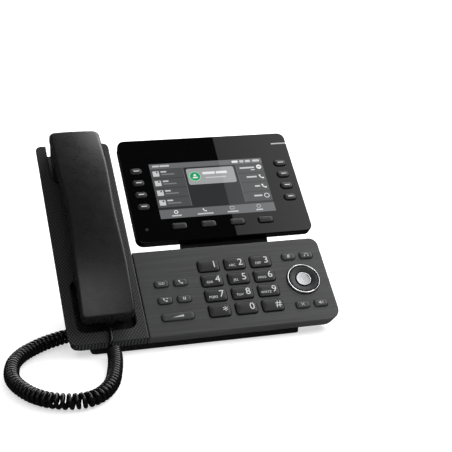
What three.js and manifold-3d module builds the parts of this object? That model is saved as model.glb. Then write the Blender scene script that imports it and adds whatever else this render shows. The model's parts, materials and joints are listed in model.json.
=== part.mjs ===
// Desk IP phone: a sloping console with a handset cradle on the left, a keypad on the right, a tilting
// colour display behind the keypad, a lift-off handset on a curly cord, and a stand underneath.
// Millimetres, +X right, +Y away from the user, +Z up. The origin is at the middle of the footprint.
import * as THREE from 'three';
import { mergeVertices } from 'three/addons/utils/BufferGeometryUtils.js';
import Module from 'manifold-3d';

const wasm = await Module();
wasm.setup();

// ---- Driving dimensions (mm, degrees). On the console, u runs right, v up the slope, h out of it. ----
const SLOPE = 40.5;             // slope of the console above the table
const CREASE_HEIGHT = 12;       // height of the console's front edge above the table
const CONSOLE_WIDTH = 242.7;
const CRADLE_WIDTH = 68.6;
const CRADLE_LENGTH = 212.7;
const KEYPAD_LENGTH = 87.4;
const COVER_DEPTH = 9.4;        // depth of the covers' visible edge band
const BODY_DEPTH = 22;          // console surface to the underside of the base shell
const SKIN = 2.2;               // moulded wall
const GAP = 0.3;                // clearance between separate pieces
const KEY_GAP = 0.35;           // clearance around each key
const EDGE_RADIUS = 8;

const DISPLAY_LEFT_GAP = 7.6;   // cradle to display
const DISPLAY_LENGTH = 116;
const DISPLAY_REAR_GAP = 8.4;   // keypad to display
const DISPLAY_DEPTH = 9;        // edge of the display frame
const DISPLAY_BACK_DEPTH = 11;  // rear shell behind the frame
const DISPLAY_REST_TILT = 1.1;  // display above the console's slope at rest
const SCREEN_WIDTH = 110.7;     // five-inch 16:9 picture
const SCREEN_LENGTH = 62.3;
const SCREEN_LEFT = 25.8;       // frame edge to picture
const SCREEN_FRONT = 24.5;
const HINGE_RADIUS = 6;
const HINGE_WIDTH = 81;
const HINGE_PIN_RADIUS = 1.6;
const HINGE_DEPTH = 16;         // hinge axis below the console surface
const HINGE_SETBACK = 10.6;     // hinge axis behind the keypad's rear edge
const HINGE_PLATE_RISE = 2;     // top of the bracket's plate above the hinge axis

const HANDSET_LENGTH = 200;
const HANDSET_END_WIDTH = 46.2;
const HANDSET_WAIST_WIDTH = 37.2;
const HANDSET_START = 15.5;     // mouth end, up the slope
const HANDSET_CENTRE = 35.2;    // centre line, across the cradle
const HANDSET_END_TOP = 15;     // height of the back at the two ends
const HANDSET_ARCH = 14;        // how much higher the back is in the middle
const HANDSET_CUP_BOTTOM = -6;  // both cups reach this far into the wells
const HANDSET_GRIP_BOTTOM = 9;  // underside of the handle
const HANDSET_SKIN = 2.2;

const WELL_DEPTH = 12;
const WELL_CLEARANCE = 1.8;     // beside the handset's cups
const MOUTH_WELL_FRONT = 11.9;

const KEY_TRAVEL_ROOM = 1.8;    // free depth under each key
const KEY_RISE = 1.5;           // key tops above the surface
const DIAL_KEY = { width: 19.4, length: 11.8, radius: 4.2, pitchU: 24.3, pitchV: 15.4, u: 134.1, v: 19.4 };
const SIDE_KEY = { width: 12.4, length: 6.6, radius: 3 };
const ROCKER = { width: 28.4, length: 7.1, radius: 3, u: 96.7, v: 17.8 };
const NAV = { edge: 24.7, v: 43, radius: 15.2, trim: 1.5, buttonRadius: 7 };  // edge: from the right side
const LINE_KEY = { width: 11.4, length: 6.8, radius: 3.1, pitch: 13.4, edge: 11.9, first: 38.5 };
const SOFT_KEY = { width: 14, length: 6.4, radius: 2.2, pitch: 27.5, first: 40.9, v: 15.2 };

const FOOT_THICKNESS = 4.2;
const FOOT_LEFT = 20.7;
const FOOT_RIGHT_INSET = 37.4;
const FOOT_FRONT = 7;
const FOOT_REAR = 139;
const FOOT_WAIST_LEFT = 63;     // the stand is cut back here, so that the handset cord passes
const RIB = 14;                 // thickness of the stand's two uprights

const CORD_DIAMETER = 3.5;
const COIL_DIAMETER = 12.7;
const PLUG = { width: 7.7, height: 6.5, length: 12 };

// ---- Materials ----
const finish = (color, roughness, metalness = 0) =>
  new THREE.MeshStandardMaterial({ color, roughness, metalness });
const blackPlastic = finish(0x17181a, 0.5);
const greyPlastic = finish(0x3a3b3d, 0.5);
const satinBlack = finish(0x1c1d1f, 0.38);
const glossBlack = finish(0x050506, 0.08);
const keyPlastic = finish(0x232426, 0.45);
const chrome = finish(0xd8d8da, 0.12, 1);
const spunMetal = finish(0xb9babc, 0.3, 1);
const clearPlastic = finish(0xc9cbcd, 0.3);
const glass = finish(0x2b2e31, 0.1);
const boardGreen = finish(0x1f5a36, 0.5);
const silicone = finish(0xd0d2d3, 0.6);
const steel = finish(0x9a9b9d, 0.35, 1);
const cordPlastic = finish(0x121213, 0.45);

// ---- Solids ----
const radians = THREE.MathUtils.degToRad;
const CURVE_STEPS = 4;
const KEY_STEPS = 2;            // a key's corners are small

function toSolid(geometry) {
  const bare = geometry.clone();
  bare.deleteAttribute('normal');
  bare.deleteAttribute('uv');
  const merged = mergeVertices(bare, 1e-4);
  return new wasm.Manifold(new wasm.Mesh({
    numProp: 3,
    vertProperties: new Float32Array(merged.attributes.position.array),
    triVerts: new Uint32Array(merged.index.array),
  }));
}

function toGeometry(solid) {
  const { vertProperties, triVerts } = solid.getMesh();
  const geometry = new THREE.BufferGeometry();
  geometry.setAttribute('position', new THREE.BufferAttribute(vertProperties, 3));
  geometry.setIndex(new THREE.BufferAttribute(triVerts, 1));
  geometry.computeVertexNormals();
  return geometry;
}

function piece(name, shape, material) {
  const geometry = shape.isBufferGeometry ? shape : toGeometry(shape);
  const mesh = new THREE.Mesh(geometry, material);
  mesh.name = name;
  return mesh;
}

// A rectangle with its own radius at each corner: [front left, front right, rear right, rear left].
function roundedRect(u0, v0, u1, v1, radii) {
  const [fl, fr, rr, rl] = Array.isArray(radii) ? radii : [radii, radii, radii, radii];
  const shape = new THREE.Shape();
  shape.moveTo(u0 + fl, v0);
  shape.lineTo(u1 - fr, v0);
  if (fr) shape.absarc(u1 - fr, v0 + fr, fr, -Math.PI / 2, 0, false);
  shape.lineTo(u1, v1 - rr);
  if (rr) shape.absarc(u1 - rr, v1 - rr, rr, 0, Math.PI / 2, false);
  shape.lineTo(u0 + rl, v1);
  if (rl) shape.absarc(u0 + rl, v1 - rl, rl, Math.PI / 2, Math.PI, false);
  shape.lineTo(u0, v0 + fl);
  if (fl) shape.absarc(u0 + fl, v0 + fl, fl, Math.PI, 1.5 * Math.PI, false);
  return shape;
}

function prism(shape, low, high, steps = CURVE_STEPS) {
  const geometry = new THREE.ExtrudeGeometry(shape, {
    depth: high - low, bevelEnabled: false, curveSegments: steps,
  });
  return toSolid(geometry.translate(0, 0, low));
}

// A block whose underside is smaller than its top by an inset on each side.
function taperedBlock(rect, low, high, inset) {
  const [u0, v0, u1, v1, radii] = rect;
  const geometry = new THREE.ExtrudeGeometry(roundedRect(u0, v0, u1, v1, radii), {
    depth: high - low, bevelEnabled: false, curveSegments: CURVE_STEPS,
  });
  const position = geometry.attributes.position;
  for (let i = 0; i < position.count; i += 1) {
    const atBottom = position.getZ(i) < (high - low) / 2;
    const u = position.getX(i);
    const v = position.getY(i);
    if (atBottom) {
      const scaleU = (u1 - u0 - inset.left - inset.right) / (u1 - u0);
      const scaleV = (v1 - v0 - inset.front - inset.rear) / (v1 - v0);
      position.setXY(i, u0 + inset.left + (u - u0) * scaleU, v0 + inset.front + (v - v0) * scaleV);
    }
  }
  return toSolid(geometry.translate(0, 0, low));
}

function box(u0, v0, h0, u1, v1, h1) {
  const geometry = new THREE.BoxGeometry(u1 - u0, v1 - v0, h1 - h0);
  return toSolid(geometry.translate((u0 + u1) / 2, (v0 + v1) / 2, (h0 + h1) / 2));
}

function disc(u, v, radius, low, high, segments = 32) {
  const geometry = new THREE.CylinderGeometry(radius, radius, high - low, segments);
  return toSolid(geometry.rotateX(Math.PI / 2).translate(u, v, (low + high) / 2));
}

// A cylinder lying across the console, along u.
function crossBar(u0, u1, v, h, radius, segments = 24) {
  const geometry = new THREE.CylinderGeometry(radius, radius, u1 - u0, segments);
  return toSolid(geometry.rotateZ(Math.PI / 2).translate((u0 + u1) / 2, v, h));
}

// Extrudes an outline drawn in v and h across the console, from u0 to u1.
const ACROSS = new THREE.Matrix4().makeBasis(
  new THREE.Vector3(0, 1, 0), new THREE.Vector3(0, 0, 1), new THREE.Vector3(1, 0, 0));
function sidePrism(shape, u0, u1, steps = CURVE_STEPS) {
  const geometry = new THREE.ExtrudeGeometry(shape, {
    depth: u1 - u0, bevelEnabled: false, curveSegments: steps,
  });
  return toSolid(geometry.applyMatrix4(ACROSS).translate(u0, 0, 0));
}

// ---- The console's own frame, and everything below a level above the table, seen in it ----
const slope = radians(SLOPE);
const consoleGroup = new THREE.Group();
consoleGroup.rotation.x = slope;
consoleGroup.position.z = CREASE_HEIGHT;
consoleGroup.updateMatrix();
const REACH = 600;

function belowLevel(level) {
  const geometry = new THREE.BoxGeometry(REACH, REACH, REACH).translate(0, 0, level - REACH / 2);
  return toSolid(geometry.applyMatrix4(consoleGroup.matrix.clone().invert()));
}

// ---- Keys: every key is a cap in a hole of the cover around it ----
const keypadLeft = CRADLE_WIDTH + GAP;
const SLEEVE = 3;               // how far a cap reaches below the surface

function capShape(key, grow = 0) {
  const halfU = key.width / 2 + grow;
  const halfV = key.length / 2 + grow;
  return roundedRect(key.u - halfU, key.v - halfV, key.u + halfU, key.v + halfV,
    Math.min(key.radius + grow, halfU - 0.1, halfV - 0.1));
}

function cap(key) {
  const geometry = new THREE.ExtrudeGeometry(capShape(key, -0.5), {
    depth: SLEEVE + KEY_RISE - 0.6, bevelThickness: 0.6, bevelSize: 0.5, bevelSegments: 1,
    curveSegments: KEY_STEPS,
  });
  return toSolid(geometry.translate(0, 0, -SLEEVE)).subtract(
    box(key.u - REACH, key.v - REACH, -SLEEVE - 2, key.u + REACH, key.v + REACH, -SLEEVE));
}

const keyHole = (key) => prism(capShape(key, KEY_GAP), -5, 5, KEY_STEPS);

const dialNames = ['star', '0', 'hash', '7', '8', '9', '4', '5', '6', '1', '2', '3'];
const dialKeys = dialNames.map((label, i) => ({
  ...DIAL_KEY, name: `dial_key_${label}`,
  u: DIAL_KEY.u + (i % 3) * DIAL_KEY.pitchU, v: DIAL_KEY.v + Math.floor(i / 3) * DIAL_KEY.pitchV,
}));
const outerColumn = CONSOLE_WIDTH - 15.4;
const innerColumn = CONSOLE_WIDTH - 32.5;
const sideKeys = [
  ['message_key', 88.6, 51.4], ['directory_key', 105.7, 51.4], ['transfer_key', 88.6, 34.6],
  ['hold_key', 105.7, 34.6], ['mute_key', innerColumn, 68], ['headset_key', outerColumn, 68],
  ['cancel_key', innerColumn, 17], ['speaker_key', outerColumn, 17],
].map(([name, u, v]) => ({ ...SIDE_KEY, name, u, v }));
const navCentre = CONSOLE_WIDTH - NAV.edge;
const keypadKeys = [...dialKeys, ...sideKeys, { ...ROCKER, name: 'volume_rocker' }];

// ---- Handset outlines ----
const handsetEnd = HANDSET_START + HANDSET_LENGTH;
const handsetMiddle = HANDSET_START + HANDSET_LENGTH / 2;
const CUP_LENGTH = 34;          // each cup's flat face
const CUP_RAMP = 13;            // slope from the cup to the handle
const CUP_SETBACK = 7;          // the cups' faces start behind the end walls

function handsetTop(v, inset = 0) {
  const along = (v - handsetMiddle) / (HANDSET_LENGTH / 2);
  return HANDSET_END_TOP + HANDSET_ARCH * (1 - along * along) - inset;
}

// Side view, between two heights that follow the arch or the underside.
function handsetSide(inset) {
  const shape = new THREE.Shape();
  const low = HANDSET_CUP_BOTTOM + inset;
  const grip = HANDSET_GRIP_BOTTOM + inset;
  const v0 = HANDSET_START + inset;
  const v1 = handsetEnd - inset;
  const mouth = v0 + CUP_SETBACK;
  const ear = v1 - CUP_SETBACK;
  const endTop = handsetTop(v0, inset);
  shape.moveTo(mouth, low);
  shape.lineTo(mouth + CUP_LENGTH - 2 * inset, low);
  shape.lineTo(mouth + CUP_LENGTH + CUP_RAMP - 2 * inset, grip);
  shape.lineTo(ear - CUP_LENGTH - CUP_RAMP + 2 * inset, grip);
  shape.lineTo(ear - CUP_LENGTH + 2 * inset, low);
  shape.lineTo(ear, low);
  shape.lineTo(v1, low + 2 * CUP_SETBACK);
  shape.lineTo(v1, endTop);
  shape.quadraticCurveTo(handsetMiddle, endTop + 2 * HANDSET_ARCH, v0, endTop);
  shape.lineTo(v0, low + 2 * CUP_SETBACK);
  return shape;
}

// Plan view: full width at the ends, drawn in to the waist.
function handsetPlan(inset) {
  const half = HANDSET_END_WIDTH / 2 - inset;
  const waist = HANDSET_WAIST_WIDTH / 2 - inset;
  const corner = 5;
  const v0 = HANDSET_START + inset;
  const v1 = handsetEnd - inset;
  const straight = 38;
  const shape = new THREE.Shape();
  const side = (sign) => [
    [HANDSET_CENTRE + sign * half, v0 + straight], [HANDSET_CENTRE + sign * waist, handsetMiddle],
    [HANDSET_CENTRE + sign * half, v1 - straight]];
  const [rightLow, rightMid, rightHigh] = side(1);
  const [leftLow, leftMid, leftHigh] = side(-1);
  const blend = 26;
  shape.moveTo(HANDSET_CENTRE - half + corner, v0);
  shape.lineTo(HANDSET_CENTRE + half - corner, v0);
  shape.absarc(HANDSET_CENTRE + half - corner, v0 + corner, corner, -Math.PI / 2, 0, false);
  shape.lineTo(...rightLow);
  shape.bezierCurveTo(rightLow[0], rightLow[1] + blend, rightMid[0], rightMid[1] - blend, ...rightMid);
  shape.bezierCurveTo(rightMid[0], rightMid[1] + blend, rightHigh[0], rightHigh[1] - blend, ...rightHigh);
  shape.lineTo(HANDSET_CENTRE + half, v1 - corner);
  shape.absarc(HANDSET_CENTRE + half - corner, v1 - corner, corner, 0, Math.PI / 2, false);
  shape.lineTo(HANDSET_CENTRE - half + corner, v1);
  shape.absarc(HANDSET_CENTRE - half + corner, v1 - corner, corner, Math.PI / 2, Math.PI, false);
  shape.lineTo(...leftHigh);
  shape.bezierCurveTo(leftHigh[0], leftHigh[1] - blend, leftMid[0], leftMid[1] + blend, ...leftMid);
  shape.bezierCurveTo(leftMid[0], leftMid[1] - blend, leftLow[0], leftLow[1] + blend, ...leftLow);
  shape.lineTo(HANDSET_CENTRE - half, v0 + corner);
  shape.absarc(HANDSET_CENTRE - half + corner, v0 + corner, corner, Math.PI, 1.5 * Math.PI, false);
  return shape;
}

function handsetSolid(inset) {
  const span = HANDSET_END_WIDTH;
  return sidePrism(handsetSide(inset), HANDSET_CENTRE - span, HANDSET_CENTRE + span, 14)
    .intersect(prism(handsetPlan(inset), HANDSET_CUP_BOTTOM - 5, HANDSET_END_TOP + HANDSET_ARCH + 5));
}

// Everything below the parting line between the handset's back and its face.
const PARTING_DROP = 9;
function belowParting(drop) {
  const endTop = HANDSET_END_TOP - drop;
  const shape = new THREE.Shape();
  shape.moveTo(HANDSET_START - 1, HANDSET_CUP_BOTTOM - 5);
  shape.lineTo(handsetEnd + 1, HANDSET_CUP_BOTTOM - 5);
  shape.lineTo(handsetEnd + 1, endTop);
  shape.quadraticCurveTo(handsetMiddle, endTop + 2 * HANDSET_ARCH, HANDSET_START - 1, endTop);
  const span = HANDSET_END_WIDTH;
  return sidePrism(shape, HANDSET_CENTRE - span, HANDSET_CENTRE + span, 14);
}

// ---- Wells: as long as the cups and their ramps are where they pass the console's surface ----
const cupAtSurface = CUP_SETBACK + CUP_LENGTH
  - CUP_RAMP * HANDSET_CUP_BOTTOM / (HANDSET_GRIP_BOTTOM - HANDSET_CUP_BOTTOM) + WELL_CLEARANCE;
const earWellFront = handsetEnd - cupAtSurface;
const wellHalf = HANDSET_END_WIDTH / 2 + WELL_CLEARANCE;
const wellLeft = HANDSET_CENTRE - wellHalf;
const wellRight = HANDSET_CENTRE + wellHalf;
const mouthWellRear = HANDSET_START + cupAtSurface;
const WELL_CORNER = 7;

function mouthWell(grow, low, high) {
  return prism(roundedRect(wellLeft - grow, MOUTH_WELL_FRONT - grow, wellRight + grow,
    mouthWellRear + grow, WELL_CORNER + grow), low, high);
}
function earWell(grow, low, high, rear = CRADLE_LENGTH + 20) {
  return prism(roundedRect(wellLeft - grow, earWellFront - grow, wellRight + grow, rear,
    [WELL_CORNER + grow, WELL_CORNER + grow, 0, 0]), low, high);
}

// ---- Cradle cover: a shell with a well for the mouth end and an open-backed well for the ear end ----
const WELL_SKIN = 1.6;
const HOOK = { u: HANDSET_CENTRE, v: earWellFront + 16, width: 12, length: 8 };

function shell(rect, inset, depth) {
  const [u0, v0, u1, v1, radii] = rect;
  const inner = radii.map((r) => Math.max(r - SKIN, 0));
  return taperedBlock(rect, -depth, 0, inset).subtract(taperedBlock(
    [u0 + SKIN, v0 + SKIN, u1 - SKIN, v1 - SKIN, inner], -depth - 0.01, -SKIN, inset));
}

function makeCradleCover() {
  const rect = [0, 0, CRADLE_WIDTH, CRADLE_LENGTH, [EDGE_RADIUS, 0, 5.5, 5.5]];
  const outer = prism(roundedRect(...rect), -REACH, REACH);
  const cups = mouthWell(WELL_SKIN, -WELL_DEPTH - WELL_SKIN, -1)
    .add(earWell(WELL_SKIN, -WELL_DEPTH - WELL_SKIN, -1)).intersect(outer);
  const hookHole = box(HOOK.u - HOOK.width / 2 - KEY_GAP, HOOK.v - HOOK.length / 2 - KEY_GAP, -20,
    HOOK.u + HOOK.width / 2 + KEY_GAP, HOOK.v + HOOK.length / 2 + KEY_GAP, -1);
  return shell(rect, { left: 3.6, right: 0, front: 0, rear: 3 }, COVER_DEPTH)
    .add(cups).subtract(mouthWell(0, -WELL_DEPTH, 5)).subtract(earWell(0, -WELL_DEPTH, 5))
    .subtract(hookHole);
}

// ---- Keypad cover ----
function makeKeypadCover() {
  const rect = [keypadLeft, 0, CONSOLE_WIDTH, KEYPAD_LENGTH, [0, 11, EDGE_RADIUS, 0]];
  let cover = shell(rect, { left: 0, right: 3.6, front: 0, rear: 3 }, COVER_DEPTH);
  const rearEdge = new THREE.Shape();     // the rear edge rolls down
  rearEdge.moveTo(KEYPAD_LENGTH - 4, 0.01);
  rearEdge.quadraticCurveTo(KEYPAD_LENGTH - 0.6, -0.4, KEYPAD_LENGTH, -2.2);
  rearEdge.lineTo(KEYPAD_LENGTH + 1, -2.2);
  rearEdge.lineTo(KEYPAD_LENGTH + 1, 0.01);
  cover = cover.subtract(sidePrism(rearEdge, keypadLeft - 1, CONSOLE_WIDTH + 1));
  for (const key of keypadKeys) cover = cover.subtract(keyHole(key));
  return cover.subtract(disc(navCentre, NAV.v, NAV.radius + KEY_GAP, -5, 5, NAV_SEGMENTS));
}

// ---- Navigation cluster: chrome rim, rocking ring and centre button ----
const NAV_SEGMENTS = 32;
function lathe(profile, segments = NAV_SEGMENTS) {
  const points = profile.map(([r, h]) => new THREE.Vector2(r, h));
  return new THREE.LatheGeometry(points, segments).rotateX(Math.PI / 2).translate(navCentre, NAV.v, 0);
}

function makeNavRim() {
  const outer = NAV.radius;
  const inner = NAV.radius - NAV.trim;
  return lathe([[inner, -SLEEVE], [outer, -SLEEVE], [outer, 1.2], [outer - 0.4, 1.8],
    [inner + 0.3, 1.8], [inner, 1.4], [inner, -SLEEVE]]);
}

function makeNavRing() {
  const outer = NAV.radius - NAV.trim - KEY_GAP;
  const inner = NAV.buttonRadius + KEY_GAP;
  return lathe([[inner, -SLEEVE], [outer, -SLEEVE], [outer, 1], [outer - 1, 1.4],
    [inner + 1, 0.9], [inner, 0.6], [inner, -SLEEVE]]);
}

function makeOkButton() {
  return lathe([[0, -SLEEVE], [NAV.buttonRadius, -SLEEVE], [NAV.buttonRadius, 0.9],
    [NAV.buttonRadius - 0.5, 1.3], [0, 1.1]]);
}

// ---- Base shell: the L-shaped tray under both covers, cut off flat above the stand ----
const BASE_INSET = 3.2;
const shellFloor = FOOT_THICKNESS + GAP;
const handsetPlug = { u: 44, v: 78 };   // where the handset cord plugs in, on the underside

const BOARD = 1.6;               // thickness of a circuit board
const boardTop = -SLEEVE - KEY_TRAVEL_ROOM - 1.2;
const ports = { u: 118, width: 34, low: -BODY_DEPTH + SKIN + 0.4, high: -COVER_DEPTH - GAP, length: 16 };

function baseBlocks(inset, low, high) {
  const strip = [BASE_INSET + inset, 1.5 + inset, CRADLE_WIDTH - BASE_INSET - inset,
    CRADLE_LENGTH - 4 - inset, [5, 1, 3, 3]];
  const wide = [BASE_INSET + inset, 1.5 + inset, CONSOLE_WIDTH - BASE_INSET - inset,
    KEYPAD_LENGTH - 3.4 - inset, [5, 8, 5, 1]];
  return taperedBlock(strip, low, high, { left: 5.5, right: 2, front: 3, rear: 4 })
    .add(taperedBlock(wide, low, high, { left: 5.5, right: 5.5, front: 3, rear: 1 }));
}

function plugSolid(grow) {
  const { width, height, length } = PLUG;
  return box(handsetPlug.u - width / 2 - grow, handsetPlug.v - height / 2 - grow, -BODY_DEPTH - 2,
    handsetPlug.u + width / 2 + grow, handsetPlug.v + height / 2 + grow,
    -BODY_DEPTH - 2 + length + grow);
}

function makeBaseShell() {
  const top = -COVER_DEPTH - GAP;
  const cavity = baseBlocks(SKIN, -BODY_DEPTH + SKIN, top + 1).subtract(belowLevel(shellFloor + SKIN));
  const socketWall = box(handsetPlug.u - 7, handsetPlug.v - 6.5, -BODY_DEPTH + 1,
    handsetPlug.u + 7, handsetPlug.v + 6.5, -BODY_DEPTH + PLUG.length);
  const portHole = box(ports.u - ports.width / 2 - 0.5, KEYPAD_LENGTH - 12, ports.low - 0.5,
    ports.u + ports.width / 2 + 0.5, KEYPAD_LENGTH + 5, ports.high + 5);
  let shellSolid = baseBlocks(0, -BODY_DEPTH, top).subtract(belowLevel(shellFloor))
    .subtract(cavity).add(socketWall)
    .subtract(plugSolid(GAP)).subtract(portHole)
    .subtract(mouthWell(WELL_SKIN + GAP, -WELL_DEPTH - WELL_SKIN - GAP, 5))
    .subtract(earWell(WELL_SKIN + GAP, -WELL_DEPTH - WELL_SKIN - GAP, 5));
  for (let i = -3; i <= 3; i += 1) {      // sound slots under the loudspeaker
    const v = speaker.v + i * 4.5;
    const half = Math.sqrt(speaker.radius ** 2 - (i * 4.5) ** 2) - 4;
    shellSolid = shellSolid.subtract(
      box(speaker.u - half, v - 0.9, -BODY_DEPTH - 1, speaker.u + half, v + 0.9, -BODY_DEPTH + SKIN + 1));
  }
  return shellSolid;
}

// ---- Inner parts ----
const SPEAKER_RADIUS = 19;
const speaker = { u: 34, radius: SPEAKER_RADIUS,        // between the wells, clear of the cord's socket
  v: Math.max((mouthWellRear + earWellFront) / 2, handsetPlug.v + 7.5 + SPEAKER_RADIUS) };

function makeSpeaker() {
  const floor = -BODY_DEPTH + SKIN + GAP;
  return disc(speaker.u, speaker.v, speaker.radius, floor, floor + 3)
    .add(disc(speaker.u, speaker.v, speaker.radius * 0.5, floor + 2.9, floor + 9));
}

function makeKeyMat() {
  const low = -SLEEVE - KEY_TRAVEL_ROOM - 0.9;
  return prism(roundedRect(keypadLeft + 6, 6, CONSOLE_WIDTH - 7, KEYPAD_LENGTH - 10, 3),
    low, -SLEEVE - KEY_TRAVEL_ROOM);
}
function makeMainBoard() {
  return prism(roundedRect(keypadLeft + 5, 6, CONSOLE_WIDTH - 8, KEYPAD_LENGTH - 7.5, 2),
    boardTop - BOARD, boardTop);
}
function makePorts() {
  const rear = KEYPAD_LENGTH - 4.2;
  let block = box(ports.u - ports.width / 2, rear - ports.length, ports.low,
    ports.u + ports.width / 2, rear, ports.high);
  for (const side of [-1, 1]) {
    const centre = ports.u + side * 8.4;
    block = block.subtract(box(centre - 6, rear - 12, ports.low + 1.2, centre + 6, rear + 1,
      ports.high - 1.2));
  }
  return block;
}

// ---- Hinge between the console and the display ----
const hinge = { v: KEYPAD_LENGTH + HINGE_SETBACK, h: -HINGE_DEPTH };
const displayLeft = CRADLE_WIDTH + DISPLAY_LEFT_GAP;
const displayRight = CONSOLE_WIDTH + 0.3;
const displayFront = KEYPAD_LENGTH + DISPLAY_REAR_GAP;
const displayRear = displayFront + DISPLAY_LENGTH;
const hingeMiddle = (displayLeft + displayRight) / 2;
const EAR = 14;                 // width of each hinge ear on the console

function makeHingeBracket() {
  const rearWall = KEYPAD_LENGTH - 3.4 + GAP;
  const arm = new THREE.Shape();
  arm.moveTo(rearWall, hinge.h - HINGE_RADIUS);
  arm.lineTo(hinge.v, hinge.h - HINGE_RADIUS);
  arm.absarc(hinge.v, hinge.h, HINGE_RADIUS, -Math.PI / 2, radians(130), false);
  arm.lineTo(rearWall, hinge.h + HINGE_PLATE_RISE);
  const left = hingeMiddle - HINGE_WIDTH / 2;
  const right = hingeMiddle + HINGE_WIDTH / 2;
  const backPlate = box(left, rearWall, hinge.h - HINGE_RADIUS, right,
    hinge.v - HINGE_RADIUS - 1, hinge.h + HINGE_PLATE_RISE);
  const bore = crossBar(left - 1, right + 1, hinge.v, hinge.h, HINGE_PIN_RADIUS + 0.05, 16);
  return sidePrism(arm, left, left + EAR, 6).add(sidePrism(arm, right - EAR, right, 6))
    .add(backPlate).subtract(bore);
}

function makeHingePin() {
  const overhang = 0.8;
  return crossBar(hingeMiddle - HINGE_WIDTH / 2 - overhang, hingeMiddle + HINGE_WIDTH / 2 + overhang,
    hinge.v, hinge.h, HINGE_PIN_RADIUS, 16);
}

// ---- Display, drawn with its front surface at h = 0 and turned about the hinge at rest ----
const lineKeys = [];
for (const [side, u] of [['left', displayLeft + LINE_KEY.edge], ['right', displayRight - LINE_KEY.edge - 1.2]]) {
  for (let i = 0; i < 4; i += 1) {
    lineKeys.push({ ...LINE_KEY, name: `line_key_${side}_${i + 1}`, u,
      v: displayFront + LINE_KEY.first + (3 - i) * LINE_KEY.pitch });
  }
}
const softKeys = [0, 1, 2, 3].map((i) => ({
  ...SOFT_KEY, name: `soft_key_${i + 1}`, u: displayLeft + SOFT_KEY.first + i * SOFT_KEY.pitch,
  v: displayFront + SOFT_KEY.v,
}));
const displayKeys = [...lineKeys, ...softKeys];
const light = { u: displayRight - 15.8, v: displayRear - 14.6, length: 3.4 };
const screen = [displayLeft + SCREEN_LEFT, displayFront + SCREEN_FRONT,
  displayLeft + SCREEN_LEFT + SCREEN_WIDTH, displayFront + SCREEN_FRONT + SCREEN_LENGTH];

function makeDisplayFront() {
  const rect = [displayLeft, displayFront, displayRight, displayRear, [7, 7, 7, 7]];
  let front = shell(rect, { left: 0, right: 0, front: 1.2, rear: 1.2 }, DISPLAY_DEPTH);
  for (const key of displayKeys) front = front.subtract(keyHole(key));
  const window = prism(roundedRect(screen[0] - GAP, screen[1] - GAP, screen[2] + GAP, screen[3] + GAP, 0.5), -5, 5);
  const lightSlot = box(light.u - GAP, light.v - GAP, -6 - GAP, displayRight + 1,
    light.v + light.length + GAP, 1);
  return front.subtract(window).subtract(lightSlot);
}

function makeScreen() {
  const bezel = 3.5;
  return prism(roundedRect(screen[0] - bezel, screen[1] - bezel, screen[2] + bezel, screen[3] + bezel, 1),
    -6, -SKIN - GAP).add(prism(roundedRect(...screen, 0.5), -6, -0.1));
}

function makeDisplayBoard() {
  return prism(roundedRect(displayLeft + 5, displayFront + 5, displayRight - 5, displayRear - 5, 4), -8.2, -6.6);
}

function makeMessageLight() {
  const bar = box(light.u, light.v, -1.6, displayRight - 0.3, light.v + light.length, -0.1);
  const turn = box(displayRight - 1.8, light.v, -6, displayRight - 0.3, light.v + light.length, -0.1);
  return bar.add(turn);
}

function makeDisplayBack() {
  const high = -DISPLAY_DEPTH - GAP;
  const low = high - DISPLAY_BACK_DEPTH;
  const edge = 2.5;
  const rect = [displayLeft + edge, displayFront + edge, displayRight - edge, displayRear - edge, [6, 6, 6, 6]];
  const inset = { left: 9, right: 9, front: 10, rear: 14 };
  const [u0, v0, u1, v1] = rect;
  const hollow = taperedBlock([u0 + SKIN, v0 + SKIN, u1 - SKIN, v1 - SKIN, [4, 4, 4, 4]],
    low + SKIN, high + 0.01, inset);
  const room = HINGE_WIDTH / 2 + 1;
  const outer = taperedBlock(rect, low, high, inset)
    .subtract(box(hingeMiddle - room, displayFront - 5, low - 5, hingeMiddle + room,
      hinge.v + HINGE_RADIUS + 1.2, high + 1));
  const left = hingeMiddle - HINGE_WIDTH / 2 + EAR + GAP;
  const right = hingeMiddle + HINGE_WIDTH / 2 - EAR - GAP;
  const cavity = hollow.subtract(box(hingeMiddle - room - SKIN, displayFront - 5, low - 5,
    hingeMiddle + room + SKIN, hinge.v + HINGE_RADIUS + 1.2 + SKIN, high + 1));
  const web = box(left, hinge.v, hinge.h - 3, right, hinge.v + HINGE_RADIUS + 4, hinge.h + 3);
  return outer.subtract(cavity).add(crossBar(left, right, hinge.v, hinge.h, HINGE_RADIUS)).add(web)
    .subtract(crossBar(left - 1, right + 1, hinge.v, hinge.h, HINGE_PIN_RADIUS + 0.05, 16));
}

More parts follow.
